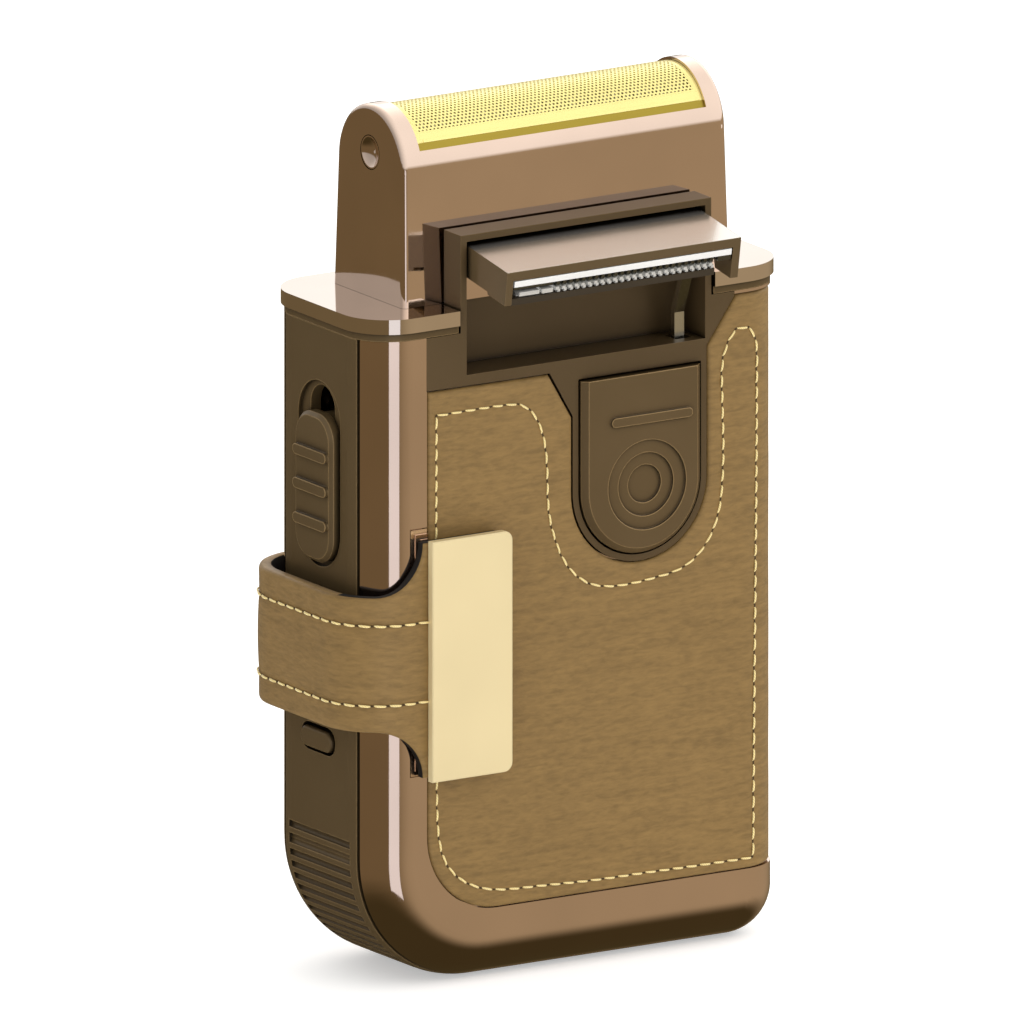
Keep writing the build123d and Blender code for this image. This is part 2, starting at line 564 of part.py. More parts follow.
for side in (-1, 1):
    nm = "foil_release_left" if side < 0 else "foil_release_right"
    xo = HEAD_X + side * 21.98
    xi = HEAD_X + side * 20.3
    with BuildPart() as rel:
        cyl_x(min(xo, xi), max(xo, xi), 0, 97.0, 1.95)
        with Locations((xo + side * 2.1, 0, 97.0)):
            Sphere(2.75, rotation=(0, 90, 40), mode=Mode.SUBTRACT)
        cyl_x(min(xi, xi - side * 0.6), max(xi, xi - side * 0.6), 0, 97.0, 2.3)
    save(rel, nm)

# ---------------------------------------------------------------- cutter and drive
with BuildPart() as cutter_block:
    with BuildSketch(Plane.YZ.offset(-17.4)):
        sector(4.9, 6.4, 58)
        with BuildLine():
            Polyline((-4.6, ARCH_Z + 3.1), (-4.6, 92.0), (4.6, 92.0), (4.6, ARCH_Z + 3.1), close=True)
        make_face()
    extrude(amount=36.0)
    with BuildSketch(Plane.YZ.offset(-18)):
        with Locations((0, ARCH_Z)):
            Circle(3.4)
    extrude(amount=38, mode=Mode.SUBTRACT)
    for k in range(24):
        x = -16.6 + 1.47 * k
        box(x, x + 0.62, -8, 8, ARCH_Z + 1.0, 104, Mode.SUBTRACT)
    box(HEAD_X - 3.1, HEAD_X + 3.1, -2.3, 2.3, 91, 93.5, Mode.SUBTRACT)
save(cutter_block, "cutter_block")

with BuildPart() as drive_bridge:
    box(HEAD_X - 6.0, HEAD_X + 6.0, -2.2, 2.2, 74.3, 86.5)
    box(HEAD_X - 12.5, HEAD_X + 12.5, -4.2, 4.2, 72.9, 74.4)
    box(HEAD_X - 3.0, HEAD_X + 3.0, -2.2, 2.2, 86.4, 91.6)
    box(HEAD_X - 4.0, HEAD_X + 4.0, 0, 5.2, 70.3, 73.0)
    # fork slot for the crank pin
    box(HEAD_X - 2.2, HEAD_X + 2.2, -0.4, 5.3, 70.2, 72.9, Mode.SUBTRACT)
    for sx in (-1, 1):
        cyl_z(86.5, 87.6, HEAD_X + sx * 4.6, 0, 0.5)
save(drive_bridge, "drive_bridge")

with BuildPart() as cutter_springs:
    for sx in (-1, 1):
        with BuildLine() as c3:
            Helix(pitch=0.9, height=4.9, radius=0.85, center=(HEAD_X + sx * 4.6, 0, 86.75), direction=(0, 0, 1))
        with BuildSketch(Plane(origin=c3.line @ 0, z_dir=c3.line % 0)):
            Circle(0.17)
        sweep(path=c3.line)
save(cutter_springs, "cutter_springs")

with BuildPart() as drive_motor:
    with BuildSketch(Plane.XY.offset(46.5)):
        with Locations((MOT_X, MOT_Y)):
            Circle(7.75)
            Rectangle(20, 12, mode=Mode.INTERSECT)
    extrude(amount=20)
    cyl_z(66.4, 67.2, MOT_X, MOT_Y, 3.0)
    cyl_z(45.6, 46.6, MOT_X, MOT_Y, 2.2)
    cyl_z(45.0, 70.0, MOT_X, MOT_Y, 0.82, Mode.SUBTRACT)
    for sx in (-1, 1):
        box(MOT_X + sx * 5.4 - 0.5, MOT_X + sx * 5.4 + 0.5, MOT_Y - 0.15, MOT_Y + 0.15, 45.0, 46.6)
save(drive_motor, "drive_motor")

with BuildPart() as motor_shaft:
    cyl_z(45.8, 69.4, MOT_X, MOT_Y, 0.77)
save(motor_shaft, "motor_shaft")

with BuildPart() as eccentric_crank:
    cyl_z(67.6, 69.6, MOT_X, MOT_Y, 1.9)
    cyl_z(69.5, 72.4, MOT_X, MOT_Y + 0.75, 0.6)
    cyl_z(67.0, 69.42, MOT_X, MOT_Y, 0.775, Mode.SUBTRACT)
save(eccentric_crank, "eccentric_crank")

with BuildPart() as motor_bracket:
    box(-10.0, 16.2, -4.9, -3.6, 49.0, 64.0)
    for x0, x1 in ((-9.9, -7.4), (8.6, 11.1)):
        box(x0, x1, -3.7, 8.9, 49.0, 64.0)
    box(-9.9, 11.1, 8.7, 9.4, 49.0, 64.0)
    for sx in (-8.65, 9.85):
        cyl_y(6.0, 12.0, sx, 56.5, 0.7, Mode.SUBTRACT)
    cyl_y(-5.2, -4.75, 8.3, 53.2, 1.95, Mode.SUBTRACT)
save(motor_bracket, "motor_bracket")

with BuildPart() as motor_screws:
    for sx in (-8.65, 9.85):
        cyl_y(6.2, 9.42, sx, 56.5, 0.68)
        cyl_y(9.41, 9.55, sx, 56.5, 1.1)
save(motor_screws, "motor_screws")

# ---------------------------------------------------------------- battery and electronics
with BuildPart() as battery_cell:
    with BuildSketch(Plane.XY.offset(10.5)):
        with Locations((8.5, 1.5)):
            RectangleRounded(20.0, 6.2, 2.0)
    extrude(amount=32.6)
    box(-0.5, 17.5, -0.2, 3.2, 43.0, 43.9)
save(battery_cell, "battery_cell")

PCB_Y = 2.4
with BuildPart() as main_pcb:
    with BuildSketch(Plane.XZ.offset(-PCB_Y)):
        with BuildLine():
            Polyline((-23.4, 20.0), (-15.5, 20.0), (-15.5, 8.6), (-11.5, 4.3), (6.0, 4.3), (6.0, 9.6), (-2.6, 9.6), (-2.6, 44.0),
                     (-11.2, 46.0), (-11.2, 68.0), (-15.6, 68.0), (-15.6, 61.2), (-20.8, 61.2), (-20.8, 67.0), (-23.4, 67.0), close=True)
        make_face()
    extrude(amount=-1.0)
    for x, z, w, h, t in ((-10, 36, 5, 5, 0.9), (-17, 38, 4, 4, 0.9), (-9, 25, 3.2, 1.6, 0.7), (-18.5, 52, 1.6, 3.2, 0.7), (-13, 52, 2, 1.25, 0.6), (-8, 15, 4.5, 3, 1.0)):
        box(x - w / 2, x + w / 2, PCB_Y + 0.95, PCB_Y + 1.0 + t, z - h / 2, z + h / 2)
save(main_pcb, "main_pcb")

with BuildPart() as slide_switch:
    box(-25.4, -21.4, -1.9, PCB_Y - 0.02, 54.0, 63.0)
save(slide_switch, "slide_switch")

with BuildPart() as tact_switch:
    box(-23.6, -20.8, -2.4, PCB_Y - 0.02, 26.2, 30.6)
    box(-24.3, -23.55, -0.9, 1.3, 27.3, 29.5)
save(tact_switch, "tact_switch")

with BuildPart() as usb_c_socket:
    with BuildSketch(Plane.XY.offset(2.0)):
        with Locations((0, 0.6)):
            SlotOverall(9.0, 3.2)
            SlotOverall(8.4, 2.6, mode=Mode.SUBTRACT)
    extrude(amount=5.6)
    box(-4.3, 4.3, -0.9, 2.1, 7.4, 8.4)
    box(-3.2, 3.2, 0.25, 0.95, 3.0, 7.5)
save(usb_c_socket, "usb_c_socket")


def wire(pts, radii, r):
    with BuildLine() as w:
        FilletPolyline(*pts, radius=radii)
    with BuildSketch(Plane(origin=w.line @ 0, z_dir=w.line % 0)) as sk:
        Circle(r)
    sweep(sk.sketch, path=w.line)


with BuildPart() as battery_leads:
    wire([(2.0, 1.0, 43.9), (2.0, 1.0, 44.6), (-4.2, 1.0, 44.6), (-4.2, 1.0, 40.0)], [0.3, 1.6], 0.35)
    wire([(4.0, 2.6, 43.9), (4.0, 2.6, 44.6), (-6.0, -0.2, 44.6), (-6.0, -0.2, 40.0)], [0.3, 1.6], 0.35)
save(battery_leads, "battery_leads")

with BuildPart() as motor_leads:
    wire([(MOT_X - 5.4, MOT_Y, 45.0), (MOT_X - 5.4, MOT_Y, 44.3), (-6.0, 5.4, 43.6), (-6.6, 5.6, 38.5)], [0.25, 1.2], 0.35)
save(motor_leads, "motor_leads")

# ---------------------------------------------------------------- power slider and side button
with BuildPart() as power_slider:
    with BuildSketch(Plane.YZ.offset(-29.3)):
        with Locations((0, 58.4)):
            RectangleRounded(7.9, 17.6, 3.2)
    extrude(amount=1.45)
    face_edges = [e for e in power_slider.edges() if abs(e.center().X + 29.3) < 0.01]
    chamfer(face_edges, 0.45)
    for z in (54.3, 58.4, 62.4):
        with BuildSketch(Plane.YZ.offset(-29.75)) as rib:
            with Locations((0, z)):
                SlotOverall(7.0, 1.25)
        extrude(amount=0.6)
    # neck through the slot, retaining foot and fork for the switch
    with BuildSketch(Plane.YZ.offset(-27.9)):
        with Locations((0, 59.8)):
            SlotOverall(14.4, 4.9, rotation=90)
    extrude(amount=1.9)
    box(-26.25, -25.55, -3.4, 3.4, 53.0, 66.0)
    box(-25.6, -25.42, -2.6, 2.6, 53.2, 53.9)
save(power_slider, "power_slider")

with BuildPart() as side_button:
    with BuildSketch(Plane.YZ.offset(-28.8)):
        with Locations((0.2, 28.4)):
            SlotOverall(6.5, 2.5)
    extrude(amount=2.9)
    tip = [e for e in side_button.edges() if abs(e.center().X + 28.8) < 0.01]
    fillet(tip, 0.4)
    with BuildSketch(Plane.YZ.offset(-26.3)):
        with Locations((0.2, 28.4)):
            SlotOverall(8.6, 4.4)
    extrude(amount=0.7)
    box(-25.7, -24.95, -0.5, 0.9, 27.9, 28.9)
save(side_button, "side_button")

# ---------------------------------------------------------------- strap, clasp plate, keeper
SZ0, SZ1 = 31.5, 47.5
PX0, PX1, PZ0, PZ1 = -21.9, -11.0, 25.3, 53.8
with BuildPart() as strap_leather:
    with BuildSketch(Plane.XY.offset(SZ0)) as sp:
        with BuildLine():
            Line((-23.3, 13.25), (-24.1, 13.25))
            CenterArc((-24.1, 5.75), 7.5, 90, 90)
            Line((-31.6, 5.75), (-31.6, -5.8))
            CenterArc((-24.1, -5.8), 7.5, 180, 90)
            Line((-24.1, -13.3), (-21.0, -13.3))
            Line((-21.0, -13.3), (-21.0, -11.8))
            Line((-21.0, -11.8), (-24.1, -11.8))
            CenterArc((-24.1, -5.8), 6.0, 180, 90)
            Line((-30.1, -5.8), (-30.1, 5.75))
            CenterArc((-24.1, 5.75), 6.0, 90, 90)
            Line((-24.1, 11.75), (-23.3, 11.75))
            Line((-23.3, 11.75), (-23.3, 13.25))
        make_face()
    extrude(amount=SZ1 - SZ0)
    # sewn end under the clasp plate, flaring into the strap with concave shoulders
    with BuildSketch(Plane.XZ.offset(11.8)):
        with BuildLine():
            Polyline((-11.3, PZ0 + 0.3), (-11.3, PZ1 - 0.3), (-22.4, PZ1 - 0.3))
            ThreePointArc((-22.4, PZ1 - 0.3), (-24.2, 49.6), (-28.3, SZ1))
            Line((-28.3, SZ1), (-28.3, SZ0))
            ThreePointArc((-28.3, SZ0), (-24.2, 29.4), (-22.4, PZ0 + 0.3))
            Line((-22.4, PZ0 + 0.3), (-11.3, PZ0 + 0.3))
        make_face()
    extrude(amount=1.5)
    with BuildSketch(Plane.XY.offset(20)) as cutc:
        with BuildLine():
            Line((-40, -5.8), (-31.6, -5.8))
            CenterArc((-24.1, -5.8), 7.5, 180, 90)
            Line((-24.1, -13.3), (-24.1, -30))
            Line((-24.1, -30), (-40, -30))
            Line((-40, -30), (-40, -5.8))
        make_face()
        with BuildLine():
            Line((-30.1, -5.8), (-24.1, -5.8))
            Line((-24.1, -5.8), (-24.1, -11.8))
            CenterArc((-24.1, -5.8), 6.0, 270, -90)
        make_face()
    extrude(amount=40, mode=Mode.SUBTRACT)
    for z in (32.0, 47.0):
        cyl_y(-12.95, -11.85, -16.5, z, 2.03, Mode.SUBTRACT)
save(strap_leather, "strap_leather")

with BuildPart() as strap_anchor:
    with BuildSketch(Plane.XZ.offset(-13.25)):
        with Locations((-15.9, 39.5)):
            Rectangle(11.8, SZ1 - SZ0)
    extrude(amount=1.55)
    corners = [e for e in strap_anchor.edges().filter_by(Axis.Y) if e.center().X > -11]
    fillet(corners, 2.0)
save(strap_anchor, "strap_anchor")

with BuildPart() as clasp_plate:
    with BuildSketch(Plane.XZ.offset(13.32)) as cp:
        with Locations(((PX0 + PX1) / 2, (PZ0 + PZ1) / 2)):
            Rectangle(PX1 - PX0, PZ1 - PZ0)
        fillet([v for v in cp.vertices() if v.X > -12], 1.1)
    extrude(amount=0.98)
    outer = [e for e in clasp_plate.edges() if abs(e.center().Y + 14.3) < 0.01]
    chamfer(outer, 0.12)
save(clasp_plate, "clasp_plate")

with BuildPart() as clasp_keeper:
    box(-23.15, -20.95, -11.5, -10.75, 25.6, 54.8)
    box(-22.55, -20.95, -11.65, -11.45, 26.2, 54.2)
    box(-21.95, -20.95, -11.75, -11.6, 26.8, 53.6)
save(clasp_keeper, "clasp_keeper")

with BuildPart() as clasp_magnet:
    for z in (32.0, 47.0):
        cyl_y(-12.9, -11.9, -16.5, z, 2.0)
save(clasp_magnet, "clasp_magnet")

with BuildPart() as keeper_magnet:
    for z in (32.0, 47.0):
        cyl_y(-9.55, -8.5, -16.5, z, 2.0)
save(keeper_magnet, "keeper_magnet")
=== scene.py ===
import bpy, bmesh, math
import numpy as np
from mathutils import Vector, Matrix, geometry


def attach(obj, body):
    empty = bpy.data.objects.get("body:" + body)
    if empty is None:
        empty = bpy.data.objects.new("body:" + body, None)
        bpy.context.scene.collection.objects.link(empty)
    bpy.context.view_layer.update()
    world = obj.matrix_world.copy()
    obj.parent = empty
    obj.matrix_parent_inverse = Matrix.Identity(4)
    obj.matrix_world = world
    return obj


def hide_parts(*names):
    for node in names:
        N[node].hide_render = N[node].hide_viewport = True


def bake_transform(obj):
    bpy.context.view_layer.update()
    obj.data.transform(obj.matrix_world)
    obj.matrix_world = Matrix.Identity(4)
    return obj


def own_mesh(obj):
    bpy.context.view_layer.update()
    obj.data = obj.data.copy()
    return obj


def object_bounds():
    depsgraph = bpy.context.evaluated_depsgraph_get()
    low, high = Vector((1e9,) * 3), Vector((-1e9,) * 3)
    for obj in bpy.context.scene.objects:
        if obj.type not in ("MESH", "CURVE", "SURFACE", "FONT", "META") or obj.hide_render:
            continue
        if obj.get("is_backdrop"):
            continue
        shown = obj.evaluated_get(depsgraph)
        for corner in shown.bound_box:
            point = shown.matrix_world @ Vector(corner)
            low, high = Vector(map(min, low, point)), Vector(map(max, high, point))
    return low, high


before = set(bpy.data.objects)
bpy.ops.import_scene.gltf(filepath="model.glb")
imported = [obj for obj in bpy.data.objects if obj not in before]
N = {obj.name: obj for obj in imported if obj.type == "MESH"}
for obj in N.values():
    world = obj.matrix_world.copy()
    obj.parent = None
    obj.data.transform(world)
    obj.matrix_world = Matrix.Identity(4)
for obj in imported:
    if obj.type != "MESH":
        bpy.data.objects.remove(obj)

CAD_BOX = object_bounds()
MM = 0.001
scene = bpy.context.scene
coll = scene.collection


# ------------------------------------------------------------------ node helpers
class Mat:
    """Small helper to build a procedural material."""

    def __init__(self, name):
        self.m = bpy.data.materials.new(name)
        self.m.use_nodes = True
        self.t = self.m.node_tree
        self.t.nodes.clear()
        self.out = self.t.nodes.new("ShaderNodeOutputMaterial")
        self.b = self.t.nodes.new("ShaderNodeBsdfPrincipled")
        self.link(self.b.outputs[0], self.out.inputs[0])
        self.tc = self.t.nodes.new("ShaderNodeTexCoord")

    def link(self, a, b):
        self.t.links.new(a, b)

    def set(self, **k):
        for n, v in k.items():
            s = self.b.inputs[n.replace("_", " ")]
            s.default_value = v if not isinstance(v, (tuple, list)) or len(v) == 4 else (*v, 1.0)

    def coord(self, scale=(1, 1, 1), rot=(0, 0, 0)):
        mp = self.t.nodes.new("ShaderNodeMapping")
        mp.inputs["Scale"].default_value = scale
        mp.inputs["Rotation"].default_value = rot
        self.link(self.tc.outputs["Object"], mp.inputs[0])
        return mp.outputs[0]

    def noise(self, vec, scale, detail=4.0, rough=0.55, dist=0.0):
        n = self.t.nodes.new("ShaderNodeTexNoise")
        n.inputs["Scale"].default_value = scale
        n.inputs["Detail"].default_value = detail
        n.inputs["Roughness"].default_value = rough
        n.inputs["Distortion"].default_value = dist
        self.link(vec, n.inputs["Vector"])
        return n.outputs["Fac"]

    def voronoi(self, vec, scale, feature="DISTANCE_TO_EDGE"):
        n = self.t.nodes.new("ShaderNodeTexVoronoi")
        n.feature = feature
        n.inputs["Scale"].default_value = scale
        self.link(vec, n.inputs["Vector"])
        return n.outputs["Distance"]

    def ramp(self, fac, stops):
        r = self.t.nodes.new("ShaderNodeValToRGB")
        el = r.color_ramp.elements
        while len(el) > 1:
            el.remove(el[0])
        el[0].position = stops[0][0]
        el[0].color = stops[0][1] if len(stops[0][1]) == 4 else (*stops[0][1], 1)
        for p, c in stops[1:]:
            e = el.new(p)
            e.color = c if len(c) == 4 else (*c, 1)
        self.link(fac, r.inputs[0])
        return r.outputs[0]

    def span(self, fac, lo, hi, a=0.0, b=1.0):
        r = self.t.nodes.new("ShaderNodeMapRange")
        r.inputs["From Min"].default_value = lo
        r.inputs["From Max"].default_value = hi
        r.inputs["To Min"].default_value = a
        r.inputs["To Max"].default_value = b
        self.link(fac, r.inputs["Value"])
        return r.outputs[0]

    def math(self, op, a, b=0.0):
        n = self.t.nodes.new("ShaderNodeMath")
        n.operation = op
        for i, v in enumerate((a, b)):
            if isinstance(v, (int, float)):
                n.inputs[i].default_value = v
            else:
                self.link(v, n.inputs[i])
        return n.outputs[0]

    def bump(self, height, dist, strength=1.0, chain=None):
        n = self.t.nodes.new("ShaderNodeBump")
        n.inputs["Distance"].default_value = dist
        n.inputs["Strength"].default_value = strength
        self.link(height, n.inputs["Height"])
        if chain is not None:
            self.link(chain, n.inputs["Normal"])
        self.link(n.outputs[0], self.b.inputs["Normal"])
        return n.outputs[0]


def shade_of(c, k):
    return tuple(x * k for x in c)


# ------------------------------------------------------------------ materials
def edge_mask(m, radius):
    """1 along moulded edges, 0 on open faces, and the rounded normal itself."""
    bv = m.t.nodes.new("ShaderNodeBevel")
    bv.samples = 6
    bv.inputs["Radius"].default_value = radius
    geo = m.t.nodes.new("ShaderNodeNewGeometry")
    dt = m.t.nodes.new("ShaderNodeVectorMath")
    dt.operation = "DOT_PRODUCT"
    m.link(bv.outputs[0], dt.inputs[0])
    m.link(geo.outputs["Normal"], dt.inputs[1])
    return m.span(dt.outputs["Value"], 0.995, 0.86), bv.outputs[0]


def two_colours(m, fac, a, b):
    n = m.t.nodes.new("ShaderNodeMix")
    n.data_type = "RGBA"
    for sock, v in ((n.inputs[0], fac), (n.inputs[6], a), (n.inputs[7], b)):
        if isinstance(v, tuple):
            sock.default_value = (*v, 1)
        else:
            m.link(v, sock)
    return n.outputs[2]


def matte_plastic(name, base, rough=0.48, grain=0.5, metallic=0.0, spec=0.28, edge=0.0, edge_highlight_gain=1.0, top=None):
    """Satin moulded plastic: faint grain; edge paints a highlight along moulded edges and paints shade into crevices;
    top is a painted lit colour, with more metal, on faces that look up.
    """
    m = Mat(name)
    v = m.coord()
    big = m.noise(v, 55, 3)
    fine = m.noise(v, 5200, 2)
    col = m.ramp(big, [(0.3, shade_of(base, 0.94)), (0.7, shade_of(base, 1.07))])
    # painted light: faces looking up (object-space normal) take the lighter top colour and turn more metallic, as if
    # lit from overhead
    if top:
        sp = m.t.nodes.new("ShaderNodeSeparateXYZ")
        m.link(m.tc.outputs["Normal"], sp.inputs[0])
        up = m.span(sp.outputs[2], 0.75, 0.93)
        col = two_colours(m, up, col, top)
        m.link(m.span(up, 0, 1, metallic, 0.9), m.b.inputs["Metallic"])
    chain = None
    if edge:
        mask, chain = edge_mask(m, edge * MM)
        # painted highlight: moulded edges are lightened by the edge gain factor
        col = two_colours(m, mask, col, shade_of(base, edge_highlight_gain))
        # painted shade: ambient occlusion darkens crevices towards a fifth of the base colour
        ao = m.t.nodes.new("ShaderNodeAmbientOcclusion")
        ao.samples = 6
        ao.inputs["Distance"].default_value = 0.9 * MM
        col = two_colours(m, m.span(ao.outputs["AO"], 0.5, 0.9), shade_of(base, 0.2), col)
    m.link(col, m.b.inputs["Base Color"])
    m.link(m.span(big, 0.3, 0.7, rough - 0.04, rough + 0.05), m.b.inputs["Roughness"])
    m.set(Specular_IOR_Level=spec)
    if not top:
        m.set(Metallic=metallic)
    m.bump(fine, 0.00002 * grain, chain=chain)
    return m.m


def plated(name, base, rough=0.06):
    """Metallised gloss plastic: soft waviness of a moulded part, light polish marks."""
    m = Mat(name)
    v = m.coord()
    big = m.noise(v, 70, 2)
    marks = m.noise(m.coord((1, 1, 0.06)), 1800, 3)
    m.link(m.ramp(big, [(0.25, shade_of(base, 0.94)), (0.75, shade_of(base, 1.05))]), m.b.inputs["Base Color"])
    m.link(m.span(marks, 0.35, 0.75, rough - 0.02, rough + 0.035), m.b.inputs["Roughness"])
    m.set(Metallic=1.0)
    m.b.inputs["Coat Weight"].default_value = 0.6
    m.b.inputs["Coat Roughness"].default_value = 0.03
    m.bump(big, 0.00006, 0.25)
    return m.m


def metal(name, base, rough=0.25, brush=(1, 1, 1), amount=0.06, bump=0.000006):
    m = Mat(name)
    fine = m.noise(m.coord(brush), 2400, 4)
    big = m.noise(m.coord(), 60, 2)
    m.link(m.ramp(big, [(0.3, shade_of(base, 0.95)), (0.7, shade_of(base, 1.03))]), m.b.inputs["Base Color"])
    m.link(m.span(fine, 0.3, 0.7, rough - amount, rough + amount), m.b.inputs["Roughness"])
    m.set(Metallic=1.0)
    m.bump(fine, bump)
    return m.m


def leather(name, base):
    """Fine cross-grain leather: short creases run along the width, colour slightly darker in the valleys."""
    m = Mat(name)
    crease = m.noise(m.coord((0.26, 0.26, 1.0)), 2300, 4, 0.62, 0.35)
    long_ = m.noise(m.coord((0.13, 0.13, 1.0)), 1150, 3, 0.55, 0.3)
    pores = m.voronoi(m.coord((0.45, 0.45, 1.0)), 3400)
    mott = m.noise(m.coord((0.6, 0.6, 0.35)), 95, 3)
    h = m.math("ADD", m.math("MULTIPLY", crease, 0.75), m.math("ADD", m.math("MULTIPLY", long_, 0.55), m.math("MULTIPLY", pores, 0.3)))
    tone = m.math("ADD", m.math("MULTIPLY", crease, 0.62), m.math("MULTIPLY", long_, 0.38))
    col = m.ramp(tone, [(0.36, shade_of(base, 0.81)), (0.5, base), (0.64, shade_of(base, 1.16))])
    mixn = m.t.nodes.new("ShaderNodeMix")
    mixn.data_type = "RGBA"
    mixn.blend_type = "MULTIPLY"
    mixn.inputs[0].default_value = 1.0
    m.link(col, mixn.inputs[6])
    m.link(m.ramp(mott, [(0.3, (0.95, 0.95, 0.94)), (0.7, (1.04, 1.04, 1.03))]), mixn.inputs[7])
    m.link(mixn.outputs[2], m.b.inputs["Base Color"])
    m.link(m.span(crease, 0.3, 0.7, 0.56, 0.44), m.b.inputs["Roughness"])
    m.set(Specular_IOR_Level=0.26)
    m.b.inputs["Sheen Weight"].default_value = 0.03
    m.b.inputs["Sheen Roughness"].default_value = 0.5
    m.bump(h, 0.00007, 0.7)
    return m.m


M = {}
# the edge and edge gain values below paint highlights along moulded edges and paint shade into crevices
M["dark"] = matte_plastic("matte_dark_brown", (0.118, 0.078, 0.034), 0.34, 0.35, metallic=0.3, edge=0.2, edge_highlight_gain=3.0)
M["slider"] = matte_plastic("satin_slider_brown", (0.122, 0.081, 0.036), 0.32, 0.2, metallic=0.3, spec=0.35, edge=0.24, edge_highlight_gain=3.6)
# painted shade: a darker copy of the frame brown for the trimmer bezel, standing in for the shade inside the trimmer
# recess
M["dark_recess_shade"] = matte_plastic("matte_brown_recess_shade", (0.105, 0.068, 0.030), 0.4, metallic=0.25, edge=0.14, edge_highlight_gain=1.7)
M["key"] = matte_plastic("matte_key_brown", (0.128, 0.084, 0.037), 0.32, 0.2, metallic=0.3, spec=0.35, edge=0.22, edge_highlight_gain=3.6)
# painted light: the arm's upward faces take a pale top colour, as if lit from overhead
M["arm"] = matte_plastic("satin_arm_brown_lit_top", (0.125, 0.085, 0.042), 0.22, 0.25, metallic=0.2, edge=0.14, edge_highlight_gain=1.6, top=(0.60, 0.57, 0.53))
M["black"] = matte_plastic("black_nylon", (0.02, 0.015, 0.010), 0.5)
M["holder"] = matte_plastic("dark_brown_holder", (0.045, 0.032, 0.018), 0.45)
# painted shade of the needle holes at the stitch ends
M["hole"] = matte_plastic("needle_hole_shade", (0.06, 0.035, 0.014), 0.8)
# black for the strap faces that look at the body, and painted shade on some of its cut edge walls
M["lining"] = matte_plastic("black_lining", (0.012, 0.011, 0.010), 0.7)
M["plated"] = plated("rose_plated", (0.80, 0.62, 0.51))
M["deck"] = plated("rose_plated_deck", (0.81, 0.70, 0.61), 0.045)
M["gold"] = metal("satin_gold", (0.86, 0.72, 0.42), 0.42, (1, 1, 0.05), 0.03, 0.000001)
M["gold"].node_tree.nodes["Principled BSDF"].inputs["Metallic"].default_value = 0.25
M["foil"] = metal("foil_gold", (0.98, 0.86, 0.33), 0.24, (0.05, 1, 1), 0.05, 0.000001)
M["foil"].node_tree.nodes["Principled BSDF"].inputs["Metallic"].default_value = 0.6
# painted shade: darker gold for the foil's lower band, where it dips under the rim
M["foil_low"] = metal("foil_gold_shade_band", (0.40, 0.30, 0.05), 0.3, (0.05, 1, 1), 0.05, 0.000001)
M["guard"] = metal("polished_guard", (0.93, 0.93, 0.92), 0.3, (0.04, 1, 1), 0.04)
M["guard"].node_tree.nodes["Principled BSDF"].inputs["Metallic"].default_value = 0.2
M["steel"] = metal("ground_steel", (0.80, 0.80, 0.78), 0.3, (0.04, 1, 1), 0.07)
M["steel"].node_tree.nodes["Principled BSDF"].inputs["Metallic"].default_value = 0.5
M["steel_dark"] = metal("comb_steel", (0.20, 0.20, 0.17), 0.32, (1, 0.3, 1), 0.05)
M["steel_dull"] = metal("drawn_steel", (0.42, 0.41, 0.40), 0.34, (1, 1, 0.1), 0.06)
M["strut"] = metal("strut_steel", (0.62, 0.60, 0.52), 0.22, (1, 1, 1), 0.03, 0.000002)
M["pink"] = metal("rose_gold_keeper", (0.80, 0.60, 0.46), 0.2, (1, 1, 0.1), 0.04)
M["leather"] = leather("tan_leather", (0.240, 0.146, 0.048))
M["leather_edge"] = leather("tan_leather_edge", (0.33, 0.21, 0.085))
M["board"] = matte_plastic("solder_mask", (0.01, 0.10, 0.035), 0.3)
M["cell"] = plated("cell_wrap", (0.5, 0.52, 0.56), 0.25)
M["rubber"] = matte_plastic("dark_rubber", (0.02, 0.018, 0.016), 0.7)
M["red"] = matte_plastic("red_lead", (0.4, 0.015, 0.01), 0.45)


def thread_mat():
    m = Mat("gold_thread")
    w = m.t.nodes.new("ShaderNodeTexWave")
    w.inputs["Scale"].default_value = 1500
    w.inputs["Distortion"].default_value = 1.5
    m.link(m.coord((1, 1, 1), (0.6, 0.5, 0.4)), w.inputs["Vector"])
    m.link(m.ramp(w.outputs["Fac"], [(0.2, (0.80, 0.60, 0.22)), (0.8, (0.98, 0.82, 0.40))]), m.b.inputs["Base Color"])
    m.link(m.span(w.outputs["Fac"], 0, 1, 0.5, 0.36), m.b.inputs["Roughness"])
    m.b.inputs["Sheen Weight"].default_value = 0.3
    m.bump(w.outputs["Fac"], 0.00003, 0.6)
    return m.m


M["thread"] = thread_mat()

ASSIGN = {
    "dark": ["mid_frame", "top_frame"],
    "slider": ["power_slider", "side_button"],
    "strut": ["trimmer_link"],
    "key": ["thumb_key"],
    "guard": ["trimmer_guard"],
    "steel_dark": ["trimmer_comb"],
    "holder": ["blade_holder"],
    "dark_recess_shade": ["trimmer_bezel"],
    "arm": ["trimmer_arm"],
    "plated": ["rear_shell", "front_shell", "head_frame", "foil_release_left", "foil_release_right"],
    "deck": ["deck_plate"],
    "gold": ["clasp_plate"],
    "pink": ["clasp_keeper"],
    "foil": ["foil"],
    "steel": ["trimmer_blade", "cutter_block"],
    "steel_dull": ["link_pin", "trimmer_hinge_pin", "key_hinge_pin", "lever_pin", "trimmer_spring", "key_spring", "cutter_springs",
                   "drive_motor", "motor_shaft", "motor_screws", "case_screws", "slide_switch", "usb_c_socket", "clasp_magnet", "keeper_magnet"],
    "black": ["foil_carrier", "release_lever", "drive_bridge", "eccentric_crank", "motor_bracket", "tact_switch"],
    "rubber": ["hair_seal"],
    "board": ["main_pcb"],
    "cell": ["battery_cell"],
    "red": ["battery_leads", "motor_leads"],
    "leather": ["leather_jacket", "strap_leather", "strap_anchor"],
}


